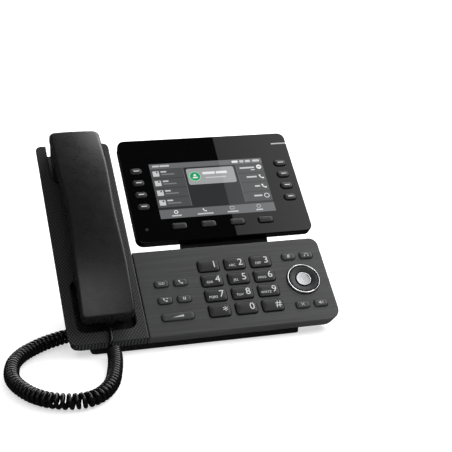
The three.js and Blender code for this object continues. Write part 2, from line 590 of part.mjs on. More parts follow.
// ---- Stand: a flat foot on the table and two uprights to the console's underside ----
function makeStand() {
  const corner = 4;
  const plate = new THREE.Shape();
  plate.moveTo(FOOT_LEFT + corner, FOOT_FRONT);
  plate.lineTo(footRight - corner, FOOT_FRONT);
  plate.absarc(footRight - corner, FOOT_FRONT + corner, corner, -Math.PI / 2, 0, false);
  plate.lineTo(footRight, FOOT_REAR - corner);
  plate.absarc(footRight - corner, FOOT_REAR - corner, corner, 0, Math.PI / 2, false);
  plate.lineTo(leftRib, FOOT_REAR);
  plate.lineTo(leftRib, FOOT_REAR - 30);
  plate.lineTo(FOOT_WAIST_LEFT, FOOT_REAR - 42);
  plate.lineTo(FOOT_WAIST_LEFT, FOOT_FRONT + 19);
  plate.lineTo(FOOT_LEFT, FOOT_FRONT + 19);
  plate.lineTo(FOOT_LEFT, FOOT_FRONT + corner);
  plate.absarc(FOOT_LEFT + corner, FOOT_FRONT + corner, corner, Math.PI, 1.5 * Math.PI, false);
  const footPads = [[FOOT_LEFT + 13, FOOT_FRONT + 9], [footRight - 13, FOOT_FRONT + 11],
    [FOOT_WAIST_LEFT + 10, FOOT_REAR - 13], [footRight - 13, FOOT_REAR - 13]];
  let stand = prism(plate, 0, FOOT_THICKNESS);
  for (const [x, y] of footPads) stand = stand.subtract(disc(x, y, 6, -1, 1, 24));
  return stand.add(upright(leftRib, FOOT_REAR - 40, FOOT_REAR, FOOT_REAR - 6))
    .add(upright(middleRib, FOOT_FRONT + 20, FOOT_REAR, undersideEnd));
}

const footRight = CONSOLE_WIDTH - FOOT_RIGHT_INSET;
const leftRib = 44;
const middleRib = 144;
const undersideLevel = (y) =>
  (y - BODY_DEPTH * Math.sin(slope)) * Math.tan(slope) + CREASE_HEIGHT - BODY_DEPTH * Math.cos(slope);
const undersideEnd = (KEYPAD_LENGTH - 5) * Math.cos(slope) + BODY_DEPTH * Math.sin(slope);

function upright(x, y0, y1, topEnd) {
  const below = GAP / Math.cos(slope);
  const side = new THREE.Shape();
  side.moveTo(y0, FOOT_THICKNESS - 0.5);
  side.lineTo(y1, FOOT_THICKNESS - 0.5);
  side.lineTo(y1, FOOT_THICKNESS + 6);
  side.lineTo(topEnd, undersideLevel(topEnd) - below);
  side.lineTo(y0, Math.max(undersideLevel(y0) - below, FOOT_THICKNESS - 0.4));
  return sidePrism(side, x, x + RIB);
}

// ---- Cord: a straight lead from the handset, the curly length on the table, a lead up to the base ----
const toWorld = (u, v, h) =>
  new THREE.Vector3(u, v, h).applyMatrix4(consoleGroup.matrix);

function tube(points, diameter, sides, steps) {
  const section = new THREE.Shape();
  for (let i = 0; i < sides; i += 1) {
    const turn = (2 * Math.PI * i) / sides;
    section[i ? 'lineTo' : 'moveTo'](Math.cos(turn) * diameter / 2, Math.sin(turn) * diameter / 2);
  }
  const path = new THREE.CatmullRomCurve3(points.map((p) => new THREE.Vector3(...p)), false, 'centripetal');
  return new THREE.ExtrudeGeometry(section, { extrudePath: path, steps, bevelEnabled: false });
}

const coilLevel = COIL_DIAMETER / 2 + 0.1;
const handsetLead = [
  [36.4, 12.3, 24.5], [36.4, 8.1, 21.8], [36.2, 3.4, 18], [35.8, -0.4, 14.9], [34.9, -2.4, 12.4],
  [33.9, -2.8, 9.8], [33.6, -3, 7.4]];
const coilRoute = [
  [36.9, -5.3], [34.2, -24], [29.2, -46.6], [21.7, -71.6], [11.5, -88.4], [0.2, -96.5], [-14.6, -96.6],
  [-28.3, -89.5], [-37.9, -78.9], [-45.6, -62.9], [-50.1, -43.3], [-49.3, -26.6], [-45.2, -8.2],
  [-37, 7.5], [-26.4, 19.6], [-14.9, 29.5], [-4, 36], [8, 42.5]];
const baseLead = [
  [8.6, 42.8, coilLevel], [16, 46.8, 6], [24.5, 51.8, 5.4], [32.5, 58.6, 5.4], [38.6, 67, 6.2],
  [42, 76, 9], [43.6, 83.4, 14.6], [44.1, 86.8, 22.4], [44.1, 85.4, 30.4], [44, 80.6, 37.8],
  [44, 75.6, 43.8]];

// ---- Assembly ----
const handsetBody = handsetSolid(0);
const handsetCavity = handsetSolid(HANDSET_SKIN);
const receiverV = handsetEnd - CUP_SETBACK - CUP_LENGTH / 2;
const microphoneV = HANDSET_START + CUP_SETBACK + 12;
const cupFloor = HANDSET_CUP_BOTTOM + HANDSET_SKIN + GAP;

const display = new THREE.Group();
display.add(
  piece('display_front', makeDisplayFront(), glossBlack),
  piece('display_back', makeDisplayBack(), blackPlastic),
  piece('lcd_screen', makeScreen(), glass),
  piece('display_board', makeDisplayBoard(), boardGreen),
  piece('message_light', makeMessageLight(), clearPlastic),
  ...displayKeys.map((key) => piece(key.name, cap(key), keyPlastic)));

const displayTurn = new THREE.Group();      // turns the display about the hinge to its rest angle
displayTurn.position.set(0, hinge.v, hinge.h);
displayTurn.rotation.x = radians(DISPLAY_REST_TILT);
display.position.set(0, -hinge.v, -hinge.h);
displayTurn.add(display);

consoleGroup.add(
  piece('cradle_cover', makeCradleCover(), blackPlastic),
  piece('keypad_cover', makeKeypadCover(), greyPlastic),
  piece('base_shell', makeBaseShell(), blackPlastic),
  piece('main_board', makeMainBoard(), boardGreen),
  piece('key_mat', makeKeyMat(), silicone),
  piece('base_speaker', makeSpeaker(), steel),
  piece('network_sockets', makePorts(), blackPlastic),
  piece('hinge_bracket', makeHingeBracket(), blackPlastic),
  piece('hinge_pin', makeHingePin(), steel),
  piece('hook_switch', box(HOOK.u - HOOK.width / 2, HOOK.v - HOOK.length / 2, -BODY_DEPTH + SKIN + 1.8,
    HOOK.u + HOOK.width / 2, HOOK.v + HOOK.length / 2, HANDSET_CUP_BOTTOM - GAP), keyPlastic),
  piece('nav_rim', makeNavRim(), chrome),
  piece('nav_ring', makeNavRing(), keyPlastic),
  piece('ok_button', makeOkButton(), spunMetal),
  ...keypadKeys.map((key) => piece(key.name, cap(key), keyPlastic)),
  piece('handset_back', handsetBody.subtract(handsetCavity).subtract(belowParting(PARTING_DROP)), satinBlack),
  piece('handset_face', handsetBody.subtract(handsetCavity)
    .intersect(belowParting(PARTING_DROP + GAP)), satinBlack),
  piece('handset_receiver', disc(HANDSET_CENTRE, receiverV, 13, cupFloor, cupFloor + 6), steel),
  piece('handset_microphone', disc(HANDSET_CENTRE, microphoneV, 4.5, cupFloor, cupFloor + 3, 20), steel),
  displayTurn);

const phone = new THREE.Group();
const cordOffset = new THREE.Group();
const body = new THREE.Group();
body.add(consoleGroup, piece('foot_stand', makeStand(), blackPlastic));
body.updateMatrixWorld(true);
const footprint = new THREE.Box3().setFromObject(body, true);
const origin = new THREE.Vector3(
  -(footprint.min.x + footprint.max.x) / 2, -(footprint.min.y + footprint.max.y) / 2, 0);
body.position.copy(origin);
cordOffset.position.copy(origin);

const plugPiece = piece('cord_plug_base', toGeometry(plugSolid(0)), clearPlastic);
plugPiece.applyMatrix4(consoleGroup.matrix);
cordOffset.add(
  piece('cord_lead_handset', tube(handsetLead, CORD_DIAMETER, 8, 24), cordPlastic),
  piece('curly_cord', tube(coilRoute.map(([x, y]) => [x, y, coilLevel]), COIL_DIAMETER, 10, 44), cordPlastic),
  piece('cord_lead_base', tube(baseLead, CORD_DIAMETER, 8, 24), cordPlastic),
  plugPiece);
phone.add(body, cordOffset);

export default phone;
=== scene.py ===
import json
import math

import bmesh
import bpy
from mathutils import Matrix, Vector


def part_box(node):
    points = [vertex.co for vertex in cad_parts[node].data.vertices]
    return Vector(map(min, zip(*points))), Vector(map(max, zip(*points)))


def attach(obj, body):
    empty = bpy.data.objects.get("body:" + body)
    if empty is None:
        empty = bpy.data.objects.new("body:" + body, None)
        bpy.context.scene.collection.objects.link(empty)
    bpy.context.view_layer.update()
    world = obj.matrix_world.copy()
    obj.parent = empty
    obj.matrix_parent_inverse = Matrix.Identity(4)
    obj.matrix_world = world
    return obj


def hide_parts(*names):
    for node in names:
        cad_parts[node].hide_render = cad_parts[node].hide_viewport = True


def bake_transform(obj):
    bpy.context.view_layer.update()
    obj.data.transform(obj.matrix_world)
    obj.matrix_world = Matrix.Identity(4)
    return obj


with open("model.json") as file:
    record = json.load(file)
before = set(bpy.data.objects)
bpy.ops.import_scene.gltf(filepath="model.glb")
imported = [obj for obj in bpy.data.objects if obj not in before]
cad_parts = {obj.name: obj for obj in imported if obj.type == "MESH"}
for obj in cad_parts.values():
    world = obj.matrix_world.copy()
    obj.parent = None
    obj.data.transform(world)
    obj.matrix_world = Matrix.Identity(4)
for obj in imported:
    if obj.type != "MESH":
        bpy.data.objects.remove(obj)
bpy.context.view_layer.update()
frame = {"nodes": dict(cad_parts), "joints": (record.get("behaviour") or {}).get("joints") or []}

MM = 0.001
JOINTS = {joint["name"]: joint for joint in frame["joints"]}


# ---- The console's and the display's own axes, read from the frame ----
def slope_square_to(joint):
    """The slope of the surface that a joint's slide axis stands square to."""
    axis = Vector(JOINTS[joint]["axis"])
    if axis.z < 0:
        axis = -axis
    return math.atan2(-axis.y, axis.z)


def front_edge(node):
    """The upper corner of a node's front edge."""
    points = [vertex.co for vertex in frame["nodes"][node].data.vertices]
    front = min(point.y for point in points)
    return max((p for p in points if p.y < front + 0.1 * MM), key=lambda p: p.z)


SLOPE = slope_square_to("handset_lift")
CREASE = front_edge("cradle_cover")
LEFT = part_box("cradle_cover")[0].x
CONSOLE = Matrix.Translation((LEFT, CREASE.y, CREASE.z)) @ Matrix.Rotation(SLOPE, 4, "X")
HINGE = CONSOLE.inverted() @ Vector(JOINTS["display_tilt"]["pos_m"])
DISPLAY = (CONSOLE @ Matrix.Translation(HINGE)
           @ Matrix.Rotation(slope_square_to("soft_key_1_press") - SLOPE, 4, "X")
           @ Matrix.Translation(-HINGE))
TABLE = Matrix.Translation((LEFT, CREASE.y, 0))


def local_box(node, axes):
    """A node's lowest and highest corners along the given axes, in millimetres."""
    inverse = axes.inverted()
    points = [inverse @ vertex.co / MM for vertex in frame["nodes"][node].data.vertices]
    return (Vector([min(p[i] for p in points) for i in range(3)]),
            Vector([max(p[i] for p in points) for i in range(3)]))


# ---- Camera: a long lens, from the left and a little above ----
LENS = 87.12
CAMERA_PLACE = TABLE @ Vector((-0.12533, -0.84266, 0.33592))
CAMERA_BACK = Vector((-0.28580, -0.92396, 0.25419))

camera = bpy.data.objects.new("camera", bpy.data.cameras.new("camera"))
bpy.context.scene.collection.objects.link(camera)
camera.data.lens = LENS
camera.data.sensor_width = 36
camera.location = CAMERA_PLACE
camera.rotation_euler = (-CAMERA_BACK).to_track_quat("-Z", "Y").to_euler()
bpy.context.scene.camera = camera


# ---- Colours and materials ----
def srgb(code):
    """A hex sRGB colour as linear RGBA."""
    parts = [int(code[i:i + 2], 16) / 255 for i in (1, 3, 5)]
    linear = [c / 12.92 if c <= 0.04045 else ((c + 0.055) / 1.055) ** 2.4 for c in parts]
    return (*linear, 1)


def add(tree, kind, inputs=None, **settings):
    """Adds a node with its settings, and sets or links its inputs."""
    node = tree.nodes.new("ShaderNode" + kind)
    for name, value in settings.items():
        setattr(node, name, value)
    for socket, value in (inputs or {}).items():
        if isinstance(value, bpy.types.NodeSocket):
            tree.links.new(value, node.inputs[socket])
        else:
            node.inputs[socket].default_value = value
    return node


def new_material(name):
    """An empty node material: its tree, its shader and its texture coordinates in metres."""
    material = bpy.data.materials.new(name)
    material.use_nodes = True
    tree = material.node_tree
    tree.nodes.clear()
    shader = add(tree, "BsdfPrincipled")
    add(tree, "OutputMaterial", {"Surface": shader.outputs[0]})
    place = add(tree, "TexCoord").outputs["Object"]
    return material, tree, shader, place


def noise(tree, place, size_mm, detail=2.0, stretch=(1, 1, 1)):
    """Noise whose features are about size_mm across, drawn out by stretch."""
    scaled = add(tree, "Mapping", {"Vector": place, "Scale": tuple(1 / s for s in stretch)})
    return add(tree, "TexNoise", {"Vector": scaled.outputs[0], "Scale": 1 / (size_mm * MM),
                                  "Detail": detail}).outputs[0]


def ramp(tree, value, low, high):
    """A value from 0 to 1, spread from low to high."""
    return add(tree, "MapRange", {"Value": value, "To Min": low, "To Max": high}).outputs[0]


def blend_colours(tree, share, first, second):
    return add(tree, "Mix", {0: share, 6: srgb(first), 7: srgb(second)}, data_type="RGBA").outputs[2]


def moulded_plastic(name, colour, light_colour, roughness, grain_mm=0.5, grain_depth=0.012, coat=0.0):
    """Injection-moulded ABS: a fine spark-eroded grain, and a finish that varies a little."""
    material, tree, shader, place = new_material(name)
    patch = noise(tree, place, 22)
    tree.links.new(blend_colours(tree, patch, colour, light_colour), shader.inputs["Base Color"])
    tree.links.new(ramp(tree, noise(tree, place, 9), roughness - 0.05, roughness + 0.05),
                   shader.inputs["Roughness"])
    grain = add(tree, "Bump", {"Height": noise(tree, place, grain_mm), "Distance": grain_depth * MM})
    tree.links.new(grain.outputs[0], shader.inputs["Normal"])
    shader.inputs["IOR"].default_value = 1.5
    shader.inputs["Coat Weight"].default_value = coat
    shader.inputs["Coat Roughness"].default_value = 0.12
    return material


def bands(tree, place, pitch_mm, turn):
    """Parallel bands pitch_mm apart, turned in the plane of the surface."""
    wave_turns = 2 * math.pi / 20         # the wave texture repeats 20 times in 2 pi
    turned = add(tree, "Mapping", {"Vector": place, "Rotation": (0, 0, turn)})
    return add(tree, "TexWave", {"Vector": turned.outputs[0], "Scale": wave_turns / (pitch_mm * MM)},
               wave_type="BANDS", bands_direction="X").outputs["Fac"]


def crosshatched_plastic():
    """Black ABS moulded with a fine diagonal lattice, 2.2 mm from groove to groove. It catches the
    light as tiny facets, so the cradle looks like woven cloth from a distance; that caught light is painted
    into the colour as a lighter lattice, a painted highlight."""
    material, tree, shader, place = new_material("black_abs_moulded_lattice")
    one = bands(tree, place, 2.2, math.radians(38))
    other = bands(tree, place, 2.2, math.radians(-38))
    lattice = add(tree, "Math", {0: one, 1: other}, operation="MULTIPLY").outputs[0]
    # painted highlight: the lattice's raised crossings are painted lighter than the black plastic, standing
    # in for the light its facets catch
    tree.links.new(blend_colours(tree, lattice, "#0c0c0d", "#48494b"), shader.inputs["Base Color"])
    tree.links.new(ramp(tree, noise(tree, place, 12), 0.42, 0.52), shader.inputs["Roughness"])
    relief = add(tree, "Bump", {"Height": lattice, "Distance": 0.12 * MM, "Strength": 0.6})
    tree.links.new(relief.outputs[0], shader.inputs["Normal"])
    shader.inputs["IOR"].default_value = 1.5
    return material


def brushed_plastic():
    """Dark grey ABS with a brushed film finish: long fine lines across the keypad, about 0.8 mm
    apart, that vary the colour and the shine."""
    material, tree, shader, place = new_material("grey_abs_brushed_film")
    coarse = noise(tree, place, 2.6, 3, stretch=(60, 1, 1))
    fine = noise(tree, place, 0.8, 2, stretch=(90, 1, 1))
    lines = add(tree, "Math", {0: coarse, 1: fine}, operation="MULTIPLY").outputs[0]
    spread = add(tree, "MapRange", {"Value": lines, "From Min": 0.15, "From Max": 0.4}).outputs[0]
    tree.links.new(blend_colours(tree, spread, "#323233", "#414243"), shader.inputs["Base Color"])
    tree.links.new(ramp(tree, spread, 0.46, 0.4), shader.inputs["Roughness"])
    relief = add(tree, "Bump", {"Height": lines, "Distance": 0.03 * MM, "Strength": 0.3})
    tree.links.new(relief.outputs[0], shader.inputs["Normal"])
    shader.inputs["IOR"].default_value = 1.5
    return material


def gloss_acrylic():
    """Piano-black acrylic, polished: nearly a mirror, with only a trace of haze."""
    material, tree, shader, place = new_material("black_acrylic_polished")
    tree.links.new(blend_colours(tree, noise(tree, place, 40), "#030303", "#050506"),
                   shader.inputs["Base Color"])
    tree.links.new(ramp(tree, noise(tree, place, 15), 0.005, 0.02), shader.inputs["Roughness"])
    shader.inputs["IOR"].default_value = 1.49
    return material


def chrome():
    """Bright chromium plate, with faint polishing haze."""
    material, tree, shader, place = new_material("chromium_plated_trim")
    tree.links.new(blend_colours(tree, noise(tree, place, 4), "#dcdddf", "#f0f0f2"),
                   shader.inputs["Base Color"])
    tree.links.new(ramp(tree, noise(tree, place, 8), 0.05, 0.09), shader.inputs["Roughness"])
    shader.inputs["Metallic"].default_value = 1
    return material


def spun_aluminium():
    """Anodised aluminium faced on a lathe: rings 0.25 mm apart round the button's own axis, which
    pull the highlights out into spokes."""
    material, tree, shader, place = new_material("aluminium_lathe_faced")
    rings = add(tree, "TexWave", {"Vector": place, "Scale": 2 * math.pi / 20 / (0.25 * MM)},
                wave_type="RINGS", rings_direction="Z").outputs["Fac"]
    tree.links.new(blend_colours(tree, rings, "#a9aaac", "#cfd0d2"), shader.inputs["Base Color"])
    tree.links.new(ramp(tree, rings, 0.18, 0.24), shader.inputs["Roughness"])
    tree.links.new(add(tree, "Tangent", direction_type="RADIAL", axis="Z").outputs[0],
                   shader.inputs["Tangent"])
    shader.inputs["Metallic"].default_value = 1
    shader.inputs["Anisotropic"].default_value = 0.95
    return material


def printed_ink(name, colour):
    """Pad-printed ink: matt, and a little uneven."""
    material, tree, shader, place = new_material(name)
    darker = "#" + "".join(f"{int(int(colour[i:i + 2], 16) * 0.88):02x}" for i in (1, 3, 5))
    tree.links.new(blend_colours(tree, noise(tree, place, 0.7), darker, colour),
                   shader.inputs["Base Color"])
    tree.links.new(ramp(tree, noise(tree, place, 1), 0.5, 0.6), shader.inputs["Roughness"])
    return material


def lit_picture(name, colour, strength=1.0):
    """Backlit liquid crystal behind a glossy lens: it glows, and the lens mirrors the room."""
    material, tree, shader, place = new_material(name)
    cells = ramp(tree, noise(tree, place, 0.3), 0.97, 1.0)
    glow = add(tree, "VectorMath", {0: srgb(colour)[:3], "Scale": cells}, operation="SCALE")
    tree.links.new(glow.outputs[0], shader.inputs["Emission Color"])
    shader.inputs["Emission Strength"].default_value = strength
    shader.inputs["Base Color"].default_value = srgb("#020202")
    shader.inputs["Roughness"].default_value = 0.015
    shader.inputs["IOR"].default_value = 1.49
    return material


def glossy_cord():
    """Extruded black PVC, shiny, with the faint waviness of extrusion."""
    material, tree, shader, place = new_material("black_pvc_extruded")
    tree.links.new(blend_colours(tree, noise(tree, place, 6), "#070707", "#0e0e0f"),
                   shader.inputs["Base Color"])
    tree.links.new(ramp(tree, noise(tree, place, 3), 0.22, 0.32), shader.inputs["Roughness"])
    wave = add(tree, "Bump", {"Height": noise(tree, place, 1.2), "Distance": 0.02 * MM})
    tree.links.new(wave.outputs[0], shader.inputs["Normal"])
    shader.inputs["IOR"].default_value = 1.53
    return material


def clear_plastic():
    """Clear polycarbonate of a light pipe or a plug: milky from inside, shiny outside."""
    material, tree, shader, place = new_material("polycarbonate_clear")
    tree.links.new(blend_colours(tree, noise(tree, place, 3), "#b6b8ba", "#d2d3d5"),
                   shader.inputs["Base Color"])
    tree.links.new(ramp(tree, noise(tree, place, 2), 0.16, 0.26), shader.inputs["Roughness"])
    shader.inputs["IOR"].default_value = 1.585
    shader.inputs["Subsurface Weight"].default_value = 0.3
    shader.inputs["Subsurface Scale"].default_value = 1.5 * MM
    return material


def soft_rubber():
    """Moulded rubber foot: dead matt."""
    material, tree, shader, place = new_material("rubber_moulded")
    tree.links.new(blend_colours(tree, noise(tree, place, 5), "#121212", "#1b1b1b"),
                   shader.inputs["Base Color"])
    tree.links.new(ramp(tree, noise(tree, place, 2), 0.78, 0.9), shader.inputs["Roughness"])
    return material


def metal(name, colour, light_colour, roughness):
    """Bare turned or plated metal."""
    material, tree, shader, place = new_material(name)
    tree.links.new(blend_colours(tree, noise(tree, place, 3), colour, light_colour),
                   shader.inputs["Base Color"])
    tree.links.new(ramp(tree, noise(tree, place, 0.8), roughness - 0.05, roughness + 0.05),
                   shader.inputs["Roughness"])
    shader.inputs["Metallic"].default_value = 1
    return material


NAV_CENTRE = sum(local_box("ok_button", CONSOLE), Vector()) / 2
LATTICE_ABS = crosshatched_plastic()
BRUSHED_ABS = brushed_plastic()
BLACK_ABS = moulded_plastic("black_abs_moulded", "#0c0c0d", "#121213", 0.48)
HANDSET_ABS = moulded_plastic("black_abs_satin", "#131314", "#171718", 0.28, 0.35, 0.003)
KEY_ABS = moulded_plastic("charcoal_key_abs", "#141415", "#191a1a", 0.4, 0.4, 0.01)
SIDE_KEY_ABS = moulded_plastic("grey_key_abs", "#303132", "#38393a", 0.42, 0.4, 0.01)
DISPLAY_KEY_ABS = moulded_plastic("black_key_abs", "#0f0f10", "#151516", 0.4, 0.4, 0.008)
GLOSS_BLACK = gloss_acrylic()
CHROME = chrome()
SPUN = spun_aluminium()
WHITE_INK = printed_ink("white_pad_print", "#e4e5e6")
GREY_INK = printed_ink("grey_pad_print", "#c8c9cb")
CORD_PVC = glossy_cord()
CLEAR = clear_plastic()
RUBBER = soft_rubber()
STEEL = metal("steel_zinc_plated", "#8d8f91", "#a5a7a9", 0.34)
BOARD = moulded_plastic("glass_epoxy_board", "#17452b", "#1e5535", 0.4)
SILICONE = moulded_plastic("silicone_rubber_moulded", "#b8babb", "#c8c9ca", 0.6)


# ---- Mesh work ----
def add_mesh(name, points, faces, axes, material):
    """A mesh object from points in millimetres along the given axes."""
    mesh = bpy.data.meshes.new(name)
    mesh.from_pydata([Vector(p) * MM for p in points], [], faces)
    mesh.update()
    piece = bpy.data.objects.new(name, mesh)
    bpy.context.scene.collection.objects.link(piece)
    piece.matrix_world = axes
    piece.data.materials.append(material)
    return piece


def bake(piece):
    """Applies a piece's modifiers to its mesh."""
    bpy.context.view_layer.update()
    evaluated = piece.evaluated_get(bpy.context.evaluated_depsgraph_get())
    piece.data = bpy.data.meshes.new_from_object(evaluated)
    piece.modifiers.clear()
    return piece


def smooth(piece, angle=35, weighted=True):
    """Smooth shading that keeps edges sharper than the angle, and flat faces flat."""
    piece.data.polygons.foreach_set("use_smooth", [True] * len(piece.data.polygons))
    piece.data.set_sharp_from_angle(angle=math.radians(angle))
    if weighted:
        normals = piece.modifiers.new("flat_faces", "WEIGHTED_NORMAL")
        normals.keep_sharp = True
    return piece


def finish(piece, body, slot, *nodes, angle=35):
    """Shades a piece, gives it its body and hides the CAD nodes it stands for. The slot argument is not used.
    """
    smooth(piece, angle)
    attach(piece, body)
    if nodes:
        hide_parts(*nodes)
    return piece


def loft(name, rings, axes, material):
    """A closed skin over rings of points, each ring with as many points, capped at both ends."""
    count = len(rings[0])
    points = [p for ring in rings for p in ring]
    faces = [tuple(reversed(range(count)))]
    for k in range(len(rings) - 1):
        for i in range(count):
            j = (i + 1) % count
            faces.append((k * count + i, k * count + j, (k + 1) * count + j, (k + 1) * count + i))
    faces.append(tuple(range((len(rings) - 1) * count, len(rings) * count)))
    return add_mesh(name, points, faces, axes, material)


def rounded_rect(rect, radii, height, steps=6):
    """An anticlockwise ring: its corner radii are front left, front right, rear right, rear left."""
    u0, v0, u1, v1 = rect
    ring = []
    corners = zip(radii, ((u0, v0, 1, 1), (u1, v0, -1, 1), (u1, v1, -1, -1), (u0, v1, 1, -1)))
    for quarter, (radius, (u, v, right, back)) in enumerate(corners):
        radius = max(radius, 0.02)
        for i in range(steps + 1):
            turn = math.pi + (quarter + i / steps) * math.pi / 2
            ring.append((u + right * radius + math.cos(turn) * radius,
                         v + back * radius + math.sin(turn) * radius, height))
    return ring


def edge_profile(low, high, bottom, top, steps=4):
    """The (inset, height) pairs of a plate's rolled edge, from its underside to its top."""
    turns = [math.pi / 2 * i / steps for i in range(steps + 1)]
    under = [(bottom * (1 - math.sin(t)), low + bottom * (1 - math.cos(t))) for t in turns]
    over = [(top * (1 - math.cos(t)), high - top * (1 - math.sin(t))) for t in turns]
    return under + over


def slab_rings(rect, radii, low, high, bottom=0.4, top=0.8, taper=(0, 0, 0, 0)):
    """A rounded plate. taper draws its sides in towards the underside: left, front, right, rear."""
    rings = []
    for inset, height in edge_profile(low, high, bottom, top):
        depth = (high - height) / (high - low)
        u0, v0, u1, v1 = rect
        left, front, right, rear = (side * depth + inset for side in taper)
        rings.append(rounded_rect((u0 + left, v0 + front, u1 - right, v1 - rear),
                                  [r - inset for r in radii], height))
    return rings


def slab(name, rect, radii, low, high, axes, material, **edges):
    return loft(name, slab_rings(rect, radii, low, high, **edges), axes, material)


def disc_ring(u, v, radius, height, count=32):
    return [(u + radius * math.cos(2 * math.pi * i / count),
             v + radius * math.sin(2 * math.pi * i / count), height) for i in range(count)]


def turned(name, centre, profile, axes, material, count=64):
    """A turned piece: profile is its (radius, height) pairs from the underside up."""
    rings = [disc_ring(centre[0], centre[1], max(radius, 0.01), height, count)
             for radius, height in profile]
    return loft(name, rings, axes, material)


def turned_ring(name, centre, profile, axes, material, count=64):
    """A ring with a hole: profile is a closed loop of (radius, height) pairs."""
    points = [p for r, h in profile for p in disc_ring(centre[0], centre[1], r, h, count)]
    faces = []
    for k in range(len(profile)):
        after = (k + 1) % len(profile)
        for i in range(count):
            j = (i + 1) % count
            faces.append((k * count + i, k * count + j, after * count + j, after * count + i))
    return add_mesh(name, points, faces, axes, material)


def merged(pieces):
    """Several pieces joined into the first, without cutting them."""
    first = pieces[0]
    work = bmesh.new()
    for piece in pieces:
        mesh = piece.data.copy()
        mesh.transform(first.matrix_world.inverted() @ piece.matrix_world)
        work.from_mesh(mesh)
        bpy.data.meshes.remove(mesh)
    work.to_mesh(first.data)
    work.free()
    for piece in pieces[1:]:
        bpy.data.objects.remove(piece)
    return first


def combine(piece, tools, operation):
    """Cuts the tools out of a piece, or joins them to it, and removes them."""
    tool = merged(tools)
    work = piece.modifiers.new("combine", "BOOLEAN")
    work.object = tool
    work.operation = operation
    work.solver = "EXACT"
    bake(piece)
    bpy.data.objects.remove(tool)
    return piece


def refined(node, material, body, slot, width=0.5, segments=2, angle=30):
    """A CAD node's own shape with rolled edges."""
    piece = bpy.data.objects.new("fine_" + node, frame["nodes"][node].data.copy())
    bpy.context.scene.collection.objects.link(piece)
    work = bmesh.new()
    work.from_mesh(piece.data)
    bmesh.ops.remove_doubles(work, verts=work.verts, dist=0.005 * MM)
    bmesh.ops.dissolve_limit(work, angle_limit=math.radians(0.6), verts=work.verts, edges=work.edges)
    work.to_mesh(piece.data)
    work.free()
    piece.data.materials.clear()
    piece.data.materials.append(material)
    bevel = piece.modifiers.new("rolled_edges", "BEVEL")
    bevel.width = width * MM
    bevel.segments = segments
    bevel.limit_method = "ANGLE"
    bevel.angle_limit = math.radians(angle)
    bevel.use_clamp_overlap = True
    bake(piece)
    return finish(piece, body, slot, node)


# ---- The handset's cord: a straight lead, the curly length on the table and a lead up to the base ----
# Centre lines in millimetres: across from the cradle's left edge, back from the front edge, up.
CORD_DIAMETER = 3.5
COIL_DIAMETER = 12.7
COIL_LEVEL = COIL_DIAMETER / 2 + 0.1
COIL_PITCH = 4.75
TURN_STEPS = 14              # points of the wire in one turn of the coil
HANDSET_LEAD = [
    (36.4, 12.3, 24.5), (36.4, 8.1, 21.8), (36.2, 3.4, 18), (35.8, -0.4, 14.9), (34.9, -2.4, 12.4),
    (33.9, -2.8, 9.8), (33.6, -3, 7.4)]
COIL_ROUTE = [
    (36.9, -5.3), (34.2, -24), (29.2, -46.6), (21.7, -71.6), (11.5, -88.4), (0.2, -96.5), (-14.6, -96.6),
    (-28.3, -89.5), (-37.9, -78.9), (-45.6, -62.9), (-50.1, -43.3), (-49.3, -26.6), (-45.2, -8.2),
    (-37, 7.5), (-26.4, 19.6), (-14.9, 29.5), (-4, 36), (8, 42.5)]
BASE_LEAD = [
    (16, 46.8, 6), (24.5, 51.8, 5.4), (32.5, 58.6, 5.4), (38.6, 67, 6.2), (42, 76, 9),
    (43.6, 83.4, 14.6), (44.1, 86.8, 22.4), (44.1, 85.4, 30.4), (44, 80.6, 37.8), (44, 75.6, 43.8)]


def smooth_path(points, spacing):
    """Points at an even spacing along a centripetal curve through the given ones."""
    points = [Vector(p) for p in points]
    padded = [2 * points[0] - points[1], *points, 2 * points[-1] - points[-2]]
    dense = []
    for a, b, c, d in zip(padded, padded[1:], padded[2:], padded[3:]):
        knots = [0.0]
        for p, q in ((a, b), (b, c), (c, d)):
            knots.append(knots[-1] + max((q - p).length, 1e-6) ** 0.5)
        for i in range(24):
            t = knots[1] + (knots[2] - knots[1]) * i / 24
            level = [a, b, c, d]
            for order in (1, 2):
                level = [level[k].lerp(level[k + 1], (t - knots[k]) / (knots[k + order] - knots[k]))
                         for k in range(4 - order)]
            share = (t - knots[1]) / (knots[2] - knots[1])
            dense.append(level[0].lerp(level[1], share))
    dense.append(points[-1])
    even, walked, target = [dense[0]], 0.0, spacing
    for p, q in zip(dense, dense[1:]):
        step = (q - p).length
        while step and walked + step >= target:
            even.append(p.lerp(q, (target - walked) / step))
            target += spacing
        walked += step
    if (even[-1] - dense[-1]).length > spacing * 0.3:
        even.append(dense[-1])
    return even


def coil_path(route):
    """The wire's own centre line, wound round the route. It starts low on the left and ends inside."""
    core = smooth_path([(x, y, COIL_LEVEL) for x, y in route], 0.5)
    radius = (COIL_DIAMETER - CORD_DIAMETER) / 2
    length = (len(core) - 1) * 0.5
    turns = length / COIL_PITCH
    count = int(turns * TURN_STEPS)
    wire = []
    for i in range(count + 1):
        share = i / count
        k = min(int(share * (len(core) - 1)), len(core) - 2)
        middle = core[k].lerp(core[k + 1], share * (len(core) - 1) - k)
        ahead = (core[k + 1] - core[k]).normalized()
        side = Vector((0, 0, 1)).cross(ahead)
        turn = math.pi + 2 * math.pi * turns * share
        last = min(1, (1 - share) * turns / 0.8)          # the last turn winds in to the lead
        reach = radius * (1 - (1 - last) ** 2)
        wire.append(middle + reach * (math.cos(turn) * side + math.sin(turn) * Vector((0, 0, 1))))
    return wire


